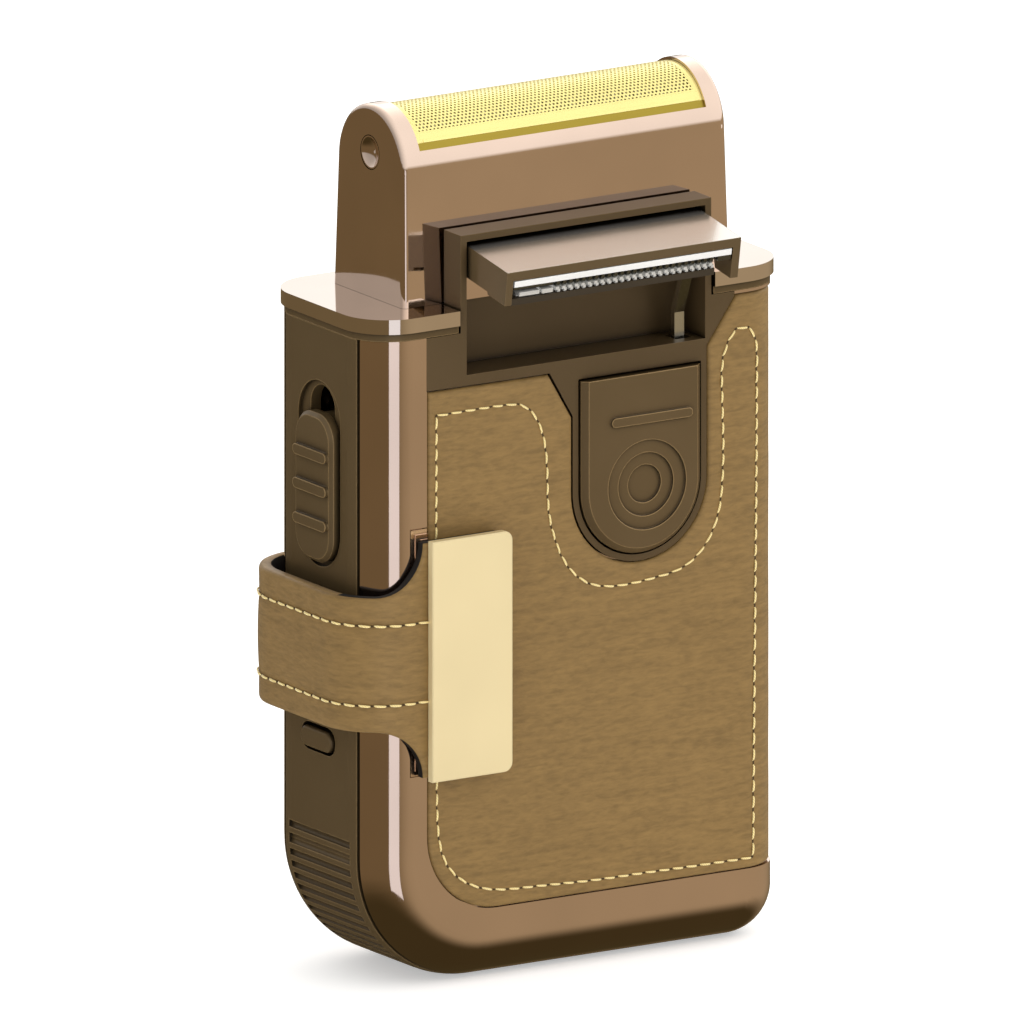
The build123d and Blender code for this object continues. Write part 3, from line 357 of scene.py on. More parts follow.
def give(ob, mat):
    ob.data.materials.clear()
    ob.data.materials.append(mat)


for key, names in ASSIGN.items():
    for n in names:
        give(N[n], M[key])


def smooth_cad(ob, width=None, angle=28.0):
    """Smooth shading on a carried-over piece, with small true edge roundings where width is given."""
    for p in ob.data.polygons:
        p.use_smooth = True
    if width:
        bv = ob.modifiers.new("edge", "BEVEL")
        bv.width = width
        bv.segments = 2
        bv.limit_method = "ANGLE"
        bv.angle_limit = math.radians(40)
        bv.harden_normals = True
        bv.use_clamp_overlap = True


# ------------------------------------------------------------------ mesh helpers
def obj_from(name, verts, faces, mat, body="root", smooth=True):
    me = bpy.data.meshes.new(name)
    me.from_pydata([tuple(v) for v in verts], [], faces)
    me.validate()
    me.update()
    ob = bpy.data.objects.new(name, me)
    coll.objects.link(ob)
    me.materials.append(mat)
    for p in me.polygons:
        p.use_smooth = smooth
    return ob


# developed map of the jacket: s runs from the rear free edge, over the rear face, the spine and the front face
J_X0, J_X1, J_Y, J_R = -20.85, 27.9, 11.65, 5.4     # outer surface of the jacket, mm
S_A = J_X1 - J_R - J_X0
S_ARC = J_R * math.pi / 2
S_B = 2 * (J_Y - J_R)
S_1 = S_A
S_2 = S_1 + S_ARC
S_3 = S_2 + S_B
S_4 = S_3 + S_ARC
S_5 = S_4 + S_A


def jacket_map(s, h):
    """Point in the XY plane, h mm above the jacket's outer surface."""
    if s <= S_1:
        return J_X0 + s, -(J_Y + h)
    if s <= S_2:
        a = (s - S_1) / J_R
        r = J_R + h
        return J_X1 - J_R + r * math.sin(a), -(J_Y - J_R) - r * math.cos(a)
    if s <= S_3:
        return J_X1 + h, -(J_Y - J_R) + (s - S_2)
    if s <= S_4:
        a = (s - S_3) / J_R
        r = J_R + h
        return J_X1 - J_R + r * math.cos(a), (J_Y - J_R) + r * math.sin(a)
    return J_X1 - J_R - (s - S_4), J_Y + h


def jmap3(s, z, h):
    x, y = jacket_map(s, h)
    return Vector((x * MM, y * MM, z * MM))


def x_to_s(x):
    return x - J_X0


# stitch paths, as (x, z) on the rear face; converted to s later
REAR_STITCH = [(-19.75, 68.0), (-8.9, 67.95), (-7.2, 67.2), (-6.05, 65.8), (-5.2, 63.7), (-4.8, 61.4), (-4.65, 59.0), (-4.6, 56.2),
               (-4.25, 53.3), (-3.1, 49.9), (-2.0, 47.9), (-0.6, 46.4), (1.3, 45.2), (4.1, 44.6), (7.3, 44.6), (10.0, 44.85),
               (12.9, 45.25), (15.05, 46.15), (16.95, 47.9), (18.3, 50.3), (19.0, 53.2), (19.3, 58.6), (19.15, 65.0), (19.1, 68.8),
               (19.55, 70.5), (20.5, 72.4), (21.8, 73.1), (23.05, 72.6), (23.95, 70.8), (24.0, 67.5), (23.9, 54.0), (23.6, 30.0),
               (23.4, 9.9)]
REAR_STITCH2 = [(23.4, 9.9), (15.1, 9.95), (8.4, 10.05), (1.9, 10.1), (-5.0, 10.4), (-11.5, 10.75), (-14.9, 11.7), (-17.6, 13.6),
                (-19.0, 16.0), (-19.55, 19.0), (-19.7, 24.0), (-19.8, 45.0), (-19.75, 68.0)]


def resample(pts, step, sharp=None):
    """Even points along a smooth curve through pts (Catmull-Rom), mm."""
    P = [np.array(p, float) for p in pts]
    dense = []
    for i in range(len(P) - 1):
        p0 = P[i - 1] if i > 0 else 2 * P[0] - P[1]
        p3 = P[i + 2] if i + 2 < len(P) else 2 * P[-1] - P[-2]
        p1, p2 = P[i], P[i + 1]
        d = max(np.linalg.norm(p2 - p1), 1e-6)
        t0 = (p2 - p0) * d / max(np.linalg.norm(p2 - p1) + np.linalg.norm(p1 - p0), 1e-6)
        t1 = (p3 - p1) * d / max(np.linalg.norm(p3 - p2) + np.linalg.norm(p2 - p1), 1e-6)
        n = max(2, int(d / 0.1))
        for k in range(n):
            u = k / n
            a = 2 * u ** 3 - 3 * u ** 2 + 1
            b = u ** 3 - 2 * u ** 2 + u
            c = -2 * u ** 3 + 3 * u ** 2
            e = u ** 3 - u ** 2
            dense.append(a * p1 + b * t0 + c * p2 + e * t1)
    dense.append(P[-1])
    D = np.array(dense)
    L = np.concatenate([[0], np.cumsum(np.linalg.norm(np.diff(D, axis=0), axis=1))])
    n = max(1, round(L[-1] / step))
    q = np.linspace(0, L[-1], n + 1)
    out = np.stack([np.interp(q, L, D[:, k]) for k in range(D.shape[1])], axis=1)
    return out


def seg_dist(p, A, B):
    """Distance from points p (n,2) to segments A-B (m,2), the least over segments."""
    best = np.full(len(p), 1e9)
    for a, b in zip(A, B):
        ab = b - a
        t = np.clip(((p - a) @ ab) / max(ab @ ab, 1e-12), 0, 1)
        d = np.linalg.norm(p - (a + t[:, None] * ab), axis=1)
        best = np.minimum(best, d)
    return best


def arc_pts(cx, cz, r, a0, a1, n):
    return [(cx + r * math.cos(math.radians(a0 + (a1 - a0) * k / n)), cz + r * math.sin(math.radians(a0 + (a1 - a0) * k / n))) for k in range(n + 1)]


# ------------------------------------------------------------------ leather jacket
from mathutils import noise as mnoise


def jacket_outline():
    e = 0.08
    pts = [(e, 18.1), (e, 70.8)]
    for x, z in [(-4.35, 70.72), (-1.2, 65.3)]:
        pts.append((x_to_s(x), z))
    pts += [(x_to_s(x), z) for x, z in arc_pts(8.05, 56.2, 9.25, 180, 360, 40)]
    for x, z in [(17.3, 71.3), (21.05, 76.6), (21.05, 76.82)]:
        pts.append((x_to_s(x), z))
    pts += [(S_5 - e, 76.82), (S_5 - e, 18.1)]
    pts += [(S_5 - 9.5 + dx, z) for dx, z in arc_pts(0, 18.1, 9.42, 0, -90, 14)][1:]
    pts += [(9.5, 8.68)]
    pts += [(9.5 + dx, z) for dx, z in arc_pts(0, 18.1, 9.42, 270, 180, 14)][1:-1]
    return pts


def dense_ring(pts, step):
    out = []
    for i in range(len(pts)):
        a = np.array(pts[i], float)
        b = np.array(pts[(i + 1) % len(pts)], float)
        n = max(1, int(round(np.linalg.norm(b - a) / step)))
        for k in range(n):
            out.append(a + (b - a) * k / n)
    return np.array(out)


def inside(poly, p):
    x, z = p[:, 0], p[:, 1]
    r = np.zeros(len(p), bool)
    j = len(poly) - 1
    for i in range(len(poly)):
        xi, zi = poly[i]
        xj, zj = poly[j]
        c = ((zi > z) != (zj > z)) & (x < (xj - xi) * (z - zi) / ((zj - zi) if zj != zi else 1e-12) + xi)
        r ^= c
        j = i
    return r


def sheet_mesh(poly, grid, tracks, name, mapper, thick, edge_drop, edge_w, mat, edge_mat, wave=0.03, track_depth=0.09, step=0.5, puff=0.0):
    """Closed leather sheet from a developed outline: rolled edges, sunk stitch tracks, slight unevenness."""
    ring = dense_ring(poly, step)
    A, B = ring, np.roll(ring, -1, axis=0)
    tang = np.roll(ring, -1, axis=0) - np.roll(ring, 1, axis=0)
    tang /= np.linalg.norm(tang, axis=1)[:, None]
    nrm = np.stack([tang[:, 1], -tang[:, 0]], axis=1)
    if not inside(poly, ring[:1] + nrm[:1] * 0.05)[0]:
        nrm = -nrm
    pts = []
    for off in (0.12, 0.28, 0.5):
        q = ring + nrm * off
        ok = inside(poly, q) & (seg_dist(q, A, B) > off * 0.93)
        pts.append(q[ok])
    x0, z0 = ring.min(0)
    x1, z1 = ring.max(0)
    gx = np.arange(x0 + grid / 2, x1, grid)
    gz = np.arange(z0 + grid / 2, z1, grid)
    G = np.array([(a, b + (grid / 2 if i % 2 else 0)) for i, a in enumerate(gx) for b in gz])
    G = G[inside(poly, G)]
    G = G[seg_dist(G, A, B) > 0.72]
    for tr in tracks:
        near = seg_dist(G, tr[:-1], tr[1:])
        G = G[near > 0.62]
        tt = np.gradient(tr, axis=0)
        tt /= np.linalg.norm(tt, axis=1)[:, None] + 1e-9
        nn = np.stack([tt[:, 1], -tt[:, 0]], axis=1)
        for off in (-0.5, -0.22, 0.0, 0.22, 0.5):
            q = tr + nn * off
            q = q[inside(poly, q)]
            q = q[seg_dist(q, A, B) > 0.62]
            pts.append(q)
    pts.append(G)
    P = np.concatenate([ring] + pts)
    nb = len(ring)
    edges = [(i, (i + 1) % nb) for i in range(nb)]
    vs, es, fs, ov, oe, of_ = geometry.delaunay_2d_cdt([Vector(p) for p in P], edges, [], 1, 1e-5)
    V = np.array([tuple(v) for v in vs])
    keep = []
    for f in fs:
        keep.append(tuple(f))
    cent = np.array([V[list(f)].mean(0) for f in keep])
    ok = inside(poly, cent)
    keep = [f for f, o in zip(keep, ok) if o]
    d = seg_dist(V, A, B)
    t = np.clip(d / edge_w, 0, 1)
    h = -edge_drop * (1 - np.sqrt(np.clip(1 - (1 - t) ** 2, 0, 1)))
    if puff:
        h += puff * np.clip(d / 4.0, 0, 1) ** 0.7
    for tr in tracks:
        ds = seg_dist(V, tr[:-1], tr[1:])
        h -= track_depth * np.exp(-(ds / 0.3) ** 2)
    for i, (a, b) in enumerate(V):
        if d[i] > 0.3:
            h[i] += wave * mnoise.noise(Vector((a * 0.16, b * 0.16, 3.7)))
    used = sorted({i for f in keep for i in f})
    remap = {v: k for k, v in enumerate(used)}
    top = [mapper(V[i][0], V[i][1], h[i]) for i in used]
    bot = [mapper(V[i][0], V[i][1], -thick) for i in used]
    n = len(used)
    keep = [[remap[i] for i in f] for f in keep]
    # face direction: the first face decides
    f0 = keep[len(keep) // 2]
    nn = (top[f0[1]] - top[f0[0]]).cross(top[f0[2]] - top[f0[0]])
    outw = top[f0[0]] - bot[f0[0]]
    if nn.dot(outw) < 0:
        keep = [f[::-1] for f in keep]
    faces = [tuple(f) for f in keep] + [tuple(i + n for i in f[::-1]) for f in keep]
    cnt = {}
    for f in keep:
        for a, b in zip(f, f[1:] + f[:1]):
            cnt[(a, b)] = 1
    wall = [(a, b) for (a, b) in cnt if (b, a) not in cnt]
    nf = len(faces)
    for a, b in wall:
        faces.append((b, a, a + n, b + n))
    ob = obj_from(name, top + bot, faces, mat)
    ob.data.materials.append(edge_mat)
    for p in ob.data.polygons:
        if p.index >= nf:
            p.material_index = 1
    return ob, (V, h)


STEP = 1.87
rear_a = resample(REAR_STITCH, STEP)
rear_b = resample(REAR_STITCH2, STEP)
to_s = lambda path: np.stack([path[:, 0] - J_X0, path[:, 1]], axis=1)
TR_REAR_A, TR_REAR_B = to_s(rear_a), to_s(rear_b)
FRONT = [(-19.8, 75.0), (23.9, 75.0)], [(23.9, 75.0), (23.9, 9.95)], \
    [(23.9, 9.95), (10, 10.0), (-5, 10.0), (-11.5, 10.2), (-14.9, 11.2), (-17.6, 13.4), (-19.0, 16.0), (-19.6, 19.5), (-19.8, 25.0), (-19.8, 50), (-19.8, 75.0)]
front_s = lambda path: np.stack([S_5 - (path[:, 0] - J_X0), path[:, 1]], axis=1)
TR_FRONT = [front_s(resample(f, STEP)) for f in FRONT]

fine = 0.6
jacket, _ = sheet_mesh(jacket_outline(), fine, [TR_REAR_A, TR_REAR_B] + TR_FRONT, "leather_wrap", jmap3, 0.99, 0.42, 0.55,
                       M["leather"], M["leather_edge"], wave=0.035)
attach(jacket, "root")
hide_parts("leather_jacket")


# ------------------------------------------------------------------ stitches
def stitch_mesh(tracks, mapper, name, body, base=-0.07, rad=0.135, length=1.5, proud=0.13, dark=True):
    V, F = [], []
    DV, DF = [], []
    for tr in tracks:
        L = np.concatenate([[0], np.cumsum(np.linalg.norm(np.diff(tr, axis=0), axis=1))])
        n = len(tr) - 1
        for k in range(n):
            t0 = L[k] + (STEP - length) / 2
            t1 = t0 + length
            ts = np.linspace(t0, t1, 7)
            slant = 0.05
            for_ = []
            for i, t in enumerate(ts):
                u = i / 6
                q = np.array([np.interp(t, L, tr[:, 0]), np.interp(t, L, tr[:, 1])])
                t2 = min(t + 0.05, L[-1])
                t3 = max(t - 0.05, 0)
                tg = np.array([np.interp(t2, L, tr[:, 0]) - np.interp(t3, L, tr[:, 0]), np.interp(t2, L, tr[:, 1]) - np.interp(t3, L, tr[:, 1])])
                tg /= np.linalg.norm(tg) + 1e-9
                sd = np.array([tg[1], -tg[0]])
                arch_h = base + proud * math.sin(math.pi * u) ** 0.5 if 0 < u < 1 else base - 0.06
                r = rad * (0.55 + 0.45 * math.sin(math.pi * u) ** 0.4) if 0 < u < 1 else rad * 0.45
                off = slant * (u - 0.5) * 2
                row = []
                for j in range(8):
                    a = 2 * math.pi * j / 8
                    w = q + sd * (off + r * math.cos(a))
                    row.append(mapper(w[0], w[1], arch_h + 0.85 * r * math.sin(a)))
                for_.append(row)
            b0 = len(V)
            for row in for_:
                V += row
            for i in range(6):
                for j in range(8):
                    a, b = b0 + i * 8 + j, b0 + i * 8 + (j + 1) % 8
                    F.append((a, b, b + 8, a + 8))
            F.append(tuple(b0 + j for j in range(8))[::-1])
            F.append(tuple(b0 + 48 + j for j in range(8)))
            # painted shade: small dark cones at each stitch end stand in for the shade inside the needle holes
            if dark:
                for t in (t0 - 0.08, t1 + 0.08):
                    if t < 0 or t > L[-1]:
                        continue
                    q = np.array([np.interp(t, L, tr[:, 0]), np.interp(t, L, tr[:, 1])])
                    c0 = len(DV)
                    DV.append(mapper(q[0], q[1], base + 0.045))
                    for j in range(8):
                        a = 2 * math.pi * j / 8
                        DV.append(mapper(q[0] + 0.12 * math.cos(a), q[1] + 0.12 * math.sin(a), base + 0.03))
                    DV.append(mapper(q[0], q[1], base - 0.25))
                    for j in range(8):
                        a, b = c0 + 1 + j, c0 + 1 + (j + 1) % 8
                        DF.append((c0, a, b))
                        DF.append((c0 + 9, b, a))
    ob = obj_from(name, V, F, M["thread"])
    bm = bmesh.new(); bm.from_mesh(ob.data); bmesh.ops.recalc_face_normals(bm, faces=bm.faces); bm.to_mesh(ob.data); bm.free()
    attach(ob, body)
    if dark and DV:
        hd = obj_from(name + "_holes", DV, DF, M["hole"], smooth=False)
        bm = bmesh.new(); bm.from_mesh(hd.data); bmesh.ops.recalc_face_normals(bm, faces=bm.faces); bm.to_mesh(hd.data); bm.free()
        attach(hd, body)
        return ob, hd
    return ob, None


stitch_mesh([TR_REAR_A, TR_REAR_B], jmap3, "rear_stitching", "root")
stitch_mesh(TR_FRONT, jmap3, "front_stitching", "root")

# ------------------------------------------------------------------ strap
T1 = 14.0
T2 = T1 + 7.5 * math.pi / 2
T3 = T2 + 11.55
T4 = T3 + 7.5 * math.pi / 2
T5 = T4 + 12.8


def strap_map(t, z, h):
    """Developed strap: front anchor, front corner, left side, rear corner, rear end. h above its outer surface."""
    bow = 0.0
    if t <= T1:
        x, y = -10.1 - t, 13.25 + h
    elif t <= T2:
        a = (t - T1) / 7.5
        r = 7.5 + h
        x, y = -24.1 - r * math.sin(a), 5.75 + r * math.cos(a)
    elif t <= T3:
        x, y = -31.6 - h, 5.75 - (t - T2)
    elif t <= T4:
        a = (t - T3) / 7.5
        r = 7.5 + h
        x, y = -24.1 - r * math.cos(a), -5.8 - r * math.sin(a)
    else:
        x, y = -24.1 + (t - T4), -13.3 - h
    return Vector((x * MM, y * MM, z * MM))


def strap_outline():
    zc, w = 39.5, 7.95
    t0, t1 = T4 - 4.6, T4 + 1.75
    up, lo = 53.45 - (zc + w), (zc - w) - 25.65
    pts = [(0.1, zc + w - 1.2), (0.1, zc - w + 1.2), (0.45, zc - w + 0.35), (1.3, zc - w)]
    n = 14
    for k in range(n + 1):
        u = k / n
        a = u * math.pi / 2
        pts.append((t0 + (t1 - t0) * math.sin(a), zc - w - lo * (1 - math.cos(a))))
    pts += [(T5 - 0.8, 25.65), (T5, 26.4), (T5, 52.7), (T5 - 0.8, 53.45)]
    for k in range(n, -1, -1):
        a = k / n * math.pi / 2
        pts.append((t0 + (t1 - t0) * math.sin(a), zc + w + up * (1 - math.cos(a))))
    pts += [(1.3, zc + w), (0.45, zc + w - 0.35)]
    return pts


TRS = []
for sgn in (-1, 1):
    path = [(1.6, 39.5 + sgn * 4.7), (20, 39.5 + sgn * 4.72), (T3, 39.5 + sgn * 4.75), (T4 + 2.6, 39.5 + sgn * 4.7)]
    TRS.append(resample(path, STEP))
TRS.append(resample([(1.6, 39.5 - 4.7), (1.6, 39.5 + 4.7)], STEP))


def strap_bulge(t, z, h):
    """The strap is slightly crowned between its stitch lines."""
    c = 0.16 * max(0.0, 1 - ((z - 39.5) / 4.7) ** 2) if h > -0.9 else 0.0
    return strap_map(t, z, h + c - 0.1 if h > -0.9 else h)


strap, _ = sheet_mesh(strap_outline(), fine, TRS, "strap_wrap", strap_bulge, 1.48, 0.35, 0.5, M["leather"], M["leather_edge"], wave=0.05, track_depth=0.1)
strap.data.materials.append(M["lining"])
for p in strap.data.polygons:
    cx, cy, cz = p.center / MM
    coloured_black = False
    if p.material_index == 0:
        # faces that look at the body are coloured black
        out_dir = Vector((cx + 24.1, 0, 0)) if abs(cy) < 5.9 else Vector((0, cy, 0))
        if -31.6 < cx < -24.1 and abs(cy) >= 5.7:
            out_dir = Vector((cx + 24.1, cy - math.copysign(5.775, cy), 0))
        if p.normal.dot(out_dir) < -0.2 * out_dir.length:
            coloured_black = True
    # painted shade: the cut edge walls along the upper and lower rear of the strap are coloured black where shade
    # falls
    elif cy < -5.0 and cx > -30.4 and cz > 47.3:
        coloured_black = True
    elif cy < -9.0 and cx > -27.5 and cz < 31.0:
        coloured_black = True
    if coloured_black:
        p.material_index = 2
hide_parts("strap_leather", "strap_anchor")
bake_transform(strap)
sa, sb = stitch_mesh(TRS, strap_map, "strap_stitching", "strap", base=-0.08, rad=0.15, proud=0.15)
for o in (sa, sb):
    if o:
        o.parent = None
        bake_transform(o)

# ------------------------------------------------------------------ perforated foil
F_X0, F_X1, F_Z = -19.97, 21.17, 95.5


def foil_pt(x, a, r):
    """a is the arc length at the outer radius, measured from the crown."""
    t = a / 6.75
    return Vector((x * MM, -r * math.sin(t) * MM, (F_Z + r * math.cos(t)) * MM))


def build_foil():
    V, F = [], []

    def grid_shell(x0, x1, a0, a1, nx, na, ro, ri):
        b = len(V)
        for layer, r in ((0, ro), (1, ri)):
            for i in range(nx + 1):
                for j in range(na + 1):
                    V.append(foil_pt(x0 + (x1 - x0) * i / nx, a0 + (a1 - a0) * j / na, r))
        m = (nx + 1) * (na + 1)
        idx = lambda l, i, j: b + l * m + i * (na + 1) + j
        for i in range(nx):
            for j in range(na):
                F.append((idx(0, i, j), idx(0, i, j + 1), idx(0, i + 1, j + 1), idx(0, i + 1, j)))
                F.append((idx(1, i, j), idx(1, i + 1, j), idx(1, i + 1, j + 1), idx(1, i, j + 1)))
        for i in range(nx):
            F.append((idx(0, i, 0), idx(0, i + 1, 0), idx(1, i + 1, 0), idx(1, i, 0)))
            F.append((idx(0, i, na), idx(1, i, na), idx(1, i + 1, na), idx(0, i + 1, na)))
        for j in range(na):
            F.append((idx(0, 0, j), idx(1, 0, j), idx(1, 0, j + 1), idx(0, 0, j + 1)))
            F.append((idx(0, nx, j), idx(0, nx, j + 1), idx(1, nx, j + 1), idx(1, nx, j)))

    p = 0.52
    ax = math.radians(50) * 6.75
    full = math.radians(76) * 6.75
    wx0, wx1 = -18.4, 19.8
    row = p * math.sqrt(3) / 2
    nr = int(2 * ax / row)
    a_start = -nr * row / 2 + row / 2
    cr = p / math.sqrt(3)
    hr = p * 0.295
    cache = {}

    def corner(x, a, r):
        k = (round(x, 3), round(a, 3), r)
        if k not in cache:
            cache[k] = len(V)
            V.append(foil_pt(x, a, r))
        return cache[k]

    nxh = int((wx1 - wx0) / p)
    for j in range(nr):
        a = a_start + j * row
        for i in range(nxh):
            x = wx0 + p * (0.5 + i) + (p / 2 if j % 2 else 0)
            if x + p / 2 > wx1 + 1e-6:
                continue
            co = [(x + cr * math.cos(math.radians(30 + 60 * k)), a + cr * math.sin(math.radians(30 + 60 * k))) for k in range(6)]
            for r, flip in ((6.75, False), (6.62, True)):
                o = [corner(cx, ca, r) for cx, ca in co]
                h = []
                for k in range(12):
                    t = math.radians(30 + 30 * k)
                    h.append(len(V))
                    V.append(foil_pt(x + hr * math.cos(t), a + hr * math.sin(t), r))
                for k in range(6):
                    q = [(o[k], h[2 * k], h[2 * k + 1]), (o[k], h[2 * k + 1], h[(2 * k + 2) % 12], o[(k + 1) % 6])]
                    F.extend([f[::-1] if flip else f for f in q])
                if not flip:
                    h_out = h
                else:
                    for k in range(12):
                        F.append((h_out[k], h[k], h[(k + 1) % 12], h_out[(k + 1) % 12]))
    # plain borders, a hair under the perforated field where they meet it
    na = 24
    grid_shell(F_X0, wx0 + p * 0.9, -full, full, 2, na * 2, 6.742, 6.60)
    grid_shell(wx1 - p * 0.9, F_X1, -full, full, 2, na * 2, 6.742, 6.60)
    top = nr * row / 2 - row * 0.45
    for s in (-1, 1):
        a0, a1 = sorted((s * top, s * full))
        grid_shell(wx0, wx1, a0, a1, 4, na // 2, 6.742, 6.60)
        g0, g1 = sorted((s * math.radians(57) * 6.75, s * math.radians(60) * 6.75))
        grid_shell(wx0 + 0.6, wx1 - 0.6, g0, g1, 1, 3, 6.80, 6.70)
    return obj_from("foil_mesh", V, F, M["foil"], smooth=True)


foil = build_foil()
bm = bmesh.new(); bm.from_mesh(foil.data); bmesh.ops.recalc_face_normals(bm, faces=bm.faces); bm.to_mesh(foil.data); bm.free()
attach(foil, "head")
foil.data.materials.append(M["foil_low"])
# painted shade: foil faces more than 60 degrees from the crown take the darker gold
for p in foil.data.polygons:
    c = p.center / MM
    if abs(math.degrees(math.atan2(abs(c.y), c.z - F_Z))) > 60.0:
        p.material_index = 1
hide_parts("foil")
try:
    foil.data.set_sharp_from_angle(angle=math.radians(35))
except Exception:
    pass

# ------------------------------------------------------------------ key return spring
def coil_mesh(name, c, y0, y1, radius, wire, pitch, mat):
    turns = (y1 - y0) / pitch
    n, m = int(turns * 28), 8
    V, F = [], []
    slope = pitch / (2 * math.pi * radius)
    for i in range(n + 1):
        t = 2 * math.pi * turns * i / n
        centre = Vector((c[0] + radius * math.cos(t), y0 + (y1 - y0) * i / n, c[1] + radius * math.sin(t)))
        tang = Vector((-math.sin(t), slope, math.cos(t))).normalized()
        rad = Vector((math.cos(t), 0, math.sin(t)))
        bi = tang.cross(rad)
        for j in range(m):
            a = 2 * math.pi * j / m
            V.append((centre + rad * (wire * math.cos(a)) + bi * (wire * math.sin(a))) * MM)
    for i in range(n):
        for j in range(m):
            a, b = i * m + j, i * m + (j + 1) % m
            F.append((a, b, b + m, a + m))
    F.append(tuple(range(m))[::-1])
    F.append(tuple(n * m + j for j in range(m)))
    return obj_from(name, V, F, mat)


coil = coil_mesh("key_return_coil", (8.3, 53.2), -9.98, -5.02, 1.5, 0.2, 1.05, M["steel_dull"])
bm = bmesh.new(); bm.from_mesh(coil.data); bmesh.ops.recalc_face_normals(bm, faces=bm.faces); bm.to_mesh(coil.data); bm.free()
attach(coil, "root")
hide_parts("key_spring")
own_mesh(coil)

# ------------------------------------------------------------------ carried-over pieces: soft shading, small true roundings
BEVEL = {
    "trimmer_arm": 0.14, "rear_shell": 0.12, "front_shell": 0.12, "head_frame": 0.12, "foil_release_left": 0.08,
    "foil_release_right": 0.08, "clasp_plate": 0.14, "clasp_keeper": 0.1, "trimmer_guard": 0.1, "trimmer_link": 0.05,
    "blade_holder": 0.08, "foil_carrier": 0.1,
}
for n, ob in N.items():
    if ob.type != "MESH":
        continue
    w = BEVEL.get(n)
    smooth_cad(ob, w * MM if w else None)
    if not w:
        try:
            ob.data.set_sharp_from_angle(angle=math.radians(28))
        except Exception:
            pass

# ------------------------------------------------------------------ stage: floor, world, strip light
bpy.ops.mesh.primitive_plane_add(size=8, location=(0, 0, -0.00015))
floor = bpy.context.object
floor.name = "floor"
fm = Mat("pale_floor")
fm.link(fm.ramp(fm.noise(fm.coord(), 3.0, 2), [(0.2, (0.93, 0.93, 0.925)), (0.8, (0.95, 0.95, 0.945))]), fm.b.inputs["Base Color"])
fm.set(Roughness=0.9, Specular_IOR_Level=0.1)
fm.b.inputs["Emission Color"].default_value = (1, 1, 1, 1)
fm.b.inputs["Emission Strength"].default_value = 0.42
floor.data.materials.append(fm.m)
floor.visible_glossy = False
floor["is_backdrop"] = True

AZ, EL = math.radians(-32.4), math.radians(14.1)
RIGHT = Vector((0.8443, -0.5358, 0.0))
BACK = Vector((-0.5197, -0.8189, 0.2436))
UP = BACK.cross(RIGHT) if BACK.cross(RIGHT).z > 0 else RIGHT.cross(BACK)

world = bpy.data.worlds.new("studio")
scene.world = world
world.use_nodes = True
wt = world.node_tree
wt.nodes.clear()


def wn(kind, **k):
    n = wt.nodes.new(kind)
    for a, b in k.items():
        setattr(n, a, b)
    return n


def wmath(op, a, b=0.0, c=0.0, clamp=False):
    n = wn("ShaderNodeMath", operation=op, use_clamp=clamp)
    for i, v in enumerate((a, b, c)):
        if isinstance(v, (int, float)):
            n.inputs[i].default_value = v
        else:
            wt.links.new(v, n.inputs[i])
    return n.outputs[0]


tc = wn("ShaderNodeTexCoord")
sep = wn("ShaderNodeSeparateXYZ")
wt.links.new(tc.outputs["Generated"], sep.inputs[0])
X, Y, Z = sep.outputs
d_right = wmath("ADD", wmath("MULTIPLY", X, 0.8443), wmath("MULTIPLY", Y, -0.5358))
d_back = wmath("ADD", wmath("MULTIPLY", X, 0.536), wmath("MULTIPLY", Y, 0.844))     # away from the viewer
def wrange(v, a, b, c, d):
    n = wn("ShaderNodeMapRange", interpolation_type="SMOOTHSTEP")
    for k, x in zip(("From Min", "From Max", "To Min", "To Max"), (a, b, c, d)):
        n.inputs[k].default_value = x
    wt.links.new(v, n.inputs["Value"])
    return n.outputs["Result"]


back_lift = wrange(Z, 0.2, 0.5, 0.28, 1.5)
left_dim = wrange(d_right, -0.95, -0.35, 0.8, 1.0)
high = wmath("MULTIPLY", left_dim, wmath("ADD", wmath("ADD", 0.81, wmath("MULTIPLY", d_right, 0.32)),
             wmath("ADD", wmath("MULTIPLY", Z, 0.22), wmath("MULTIPLY", back_lift, wmath("POWER", wmath("MAXIMUM", d_back, 0.0), 3.0)))))
side = wmath("ADD", 0.5, wmath("MULTIPLY", Z, 12.0), clamp=True)


def wmix(f, a, b):
    n = wn("ShaderNodeMix", data_type="RGBA")
    for sock, v in ((n.inputs[0], f), (n.inputs[6], a), (n.inputs[7], b)):
        if isinstance(v, tuple):
            sock.default_value = (*v, 1)
        else:
            wt.links.new(v, sock)
    return n.outputs[2]


# below the horizon: a warm brown room, darker to the left and straight down
low_col = wmix(wrange(d_right, 0.15, 0.9, 0.0, 1.0), (0.165, 0.118, 0.060), (0.40, 0.315, 0.20))
deep = wrange(Z, -0.72, -0.36, 0.0, 1.0)
low_col = wmix(deep, (0.055, 0.040, 0.016), low_col)
hi_n = wn("ShaderNodeCombineColor")
for i, k in enumerate((1.0, 0.985, 0.96)):
    wt.links.new(wmath("MULTIPLY", high, k), hi_n.inputs[i])
bg = wn("ShaderNodeBackground")
bg.inputs["Strength"].default_value = 1.0
wt.links.new(wmix(side, low_col, hi_n.outputs[0]), bg.inputs["Color"])
wo = wn("ShaderNodeOutputWorld")
wt.links.new(bg.outputs[0], wo.inputs[0])


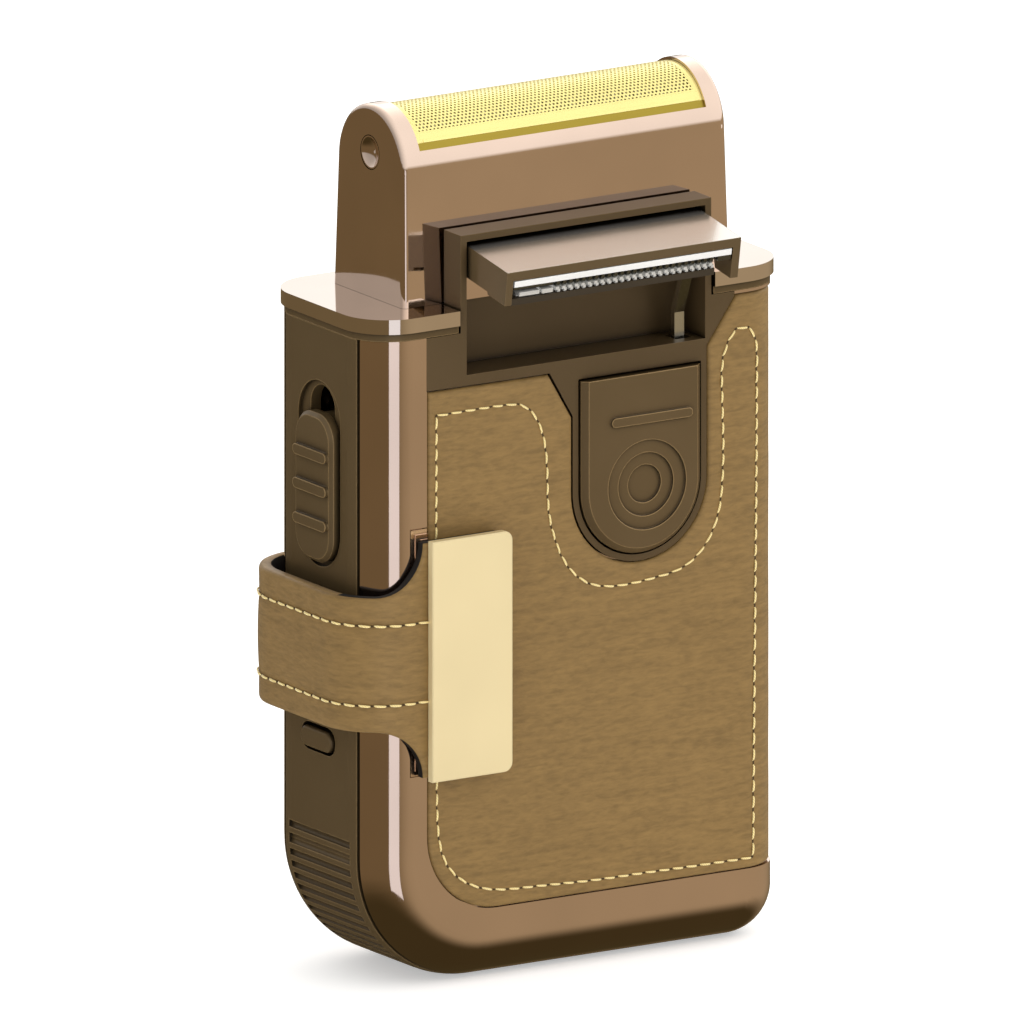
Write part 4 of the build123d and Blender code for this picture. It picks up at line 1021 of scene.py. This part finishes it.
def panel(name, centre, normal, w, h, strength, col=(1, 1, 1), glossy_only=True):
    """Soft light panel facing along normal; upright edges."""
    n = Vector(normal).normalized()
    side_v = Vector((0, 0, 1)).cross(n).normalized()
    up_v = n.cross(side_v)
    c = Vector(centre)
    vs = [c + side_v * (sx * w / 2) + up_v * (sz * h / 2) for sx, sz in ((-1, -1), (1, -1), (1, 1), (-1, 1))]
    me = bpy.data.meshes.new(name)
    me.from_pydata([tuple(v) for v in vs], [], [(0, 1, 2, 3)])
    ob = bpy.data.objects.new(name, me)
    coll.objects.link(ob)
    mt = bpy.data.materials.new(name)
    mt.use_nodes = True
    mt.node_tree.nodes.clear()
    em = mt.node_tree.nodes.new("ShaderNodeEmission")
    em.inputs["Color"].default_value = (*col, 1)
    em.inputs["Strength"].default_value = strength
    o = mt.node_tree.nodes.new("ShaderNodeOutputMaterial")
    mt.node_tree.links.new(em.outputs[0], o.inputs[0])
    me.materials.append(mt)
    ob.visible_camera = False
    ob.visible_shadow = False
    if glossy_only:
        ob.visible_diffuse = False
    ob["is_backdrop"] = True
    return ob


corner_pt = Vector((-0.025, -0.011, 0.0))
pd = Vector((-0.279, -0.960, 0.0))
panel("strip_light", corner_pt + pd * 0.065 + Vector((0, 0, 0.034)), -pd, 0.030, 0.118, 0.95, (0.96, 0.97, 1.04))

key = bpy.data.lights.new("soft_key", "AREA")
key.energy = 0.55
key.size = 0.5
key.color = (1.0, 0.97, 0.93)
ko = bpy.data.objects.new("soft_key", key)
coll.objects.link(ko)
ko.location = (0.25, -0.75, 0.7)
ko.rotation_euler = (Vector((0, 0, 0.05)) - ko.location).to_track_quat("-Z", "Y").to_euler()
ko.visible_glossy = False
ko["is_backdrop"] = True

# ------------------------------------------------------------------ camera
cam = bpy.data.cameras.new("camera")
cam.type = "ORTHO"
cam.ortho_scale = 0.11816
cam.clip_start = 0.01
cam.clip_end = 20
co = bpy.data.objects.new("camera", cam)
coll.objects.link(co)
R = Vector((0.8443, -0.5358, 0.0)).normalized()
B = Vector((math.sin(AZ) * math.cos(EL), -math.cos(AZ) * math.cos(EL), math.sin(EL))).normalized()
U = B.cross(R)
co.matrix_world = Matrix(((R.x, U.x, B.x, 0), (R.y, U.y, B.y, 0), (R.z, U.z, B.z, 0), (0, 0, 0, 1)))
co.location = R * (-0.001506) + U * 0.0497 + B * 0.8
scene.camera = co
scene.view_settings.view_transform = "Standard"
scene.view_settings.look = "None"

box_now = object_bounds()
({"cad": [list(map(float, v)) for v in CAD_BOX] if hasattr(CAD_BOX[0], "__len__") else list(map(float, CAD_BOX)),
           "visual": [list(map(float, v)) for v in box_now] if hasattr(box_now[0], "__len__") else list(map(float, box_now))})
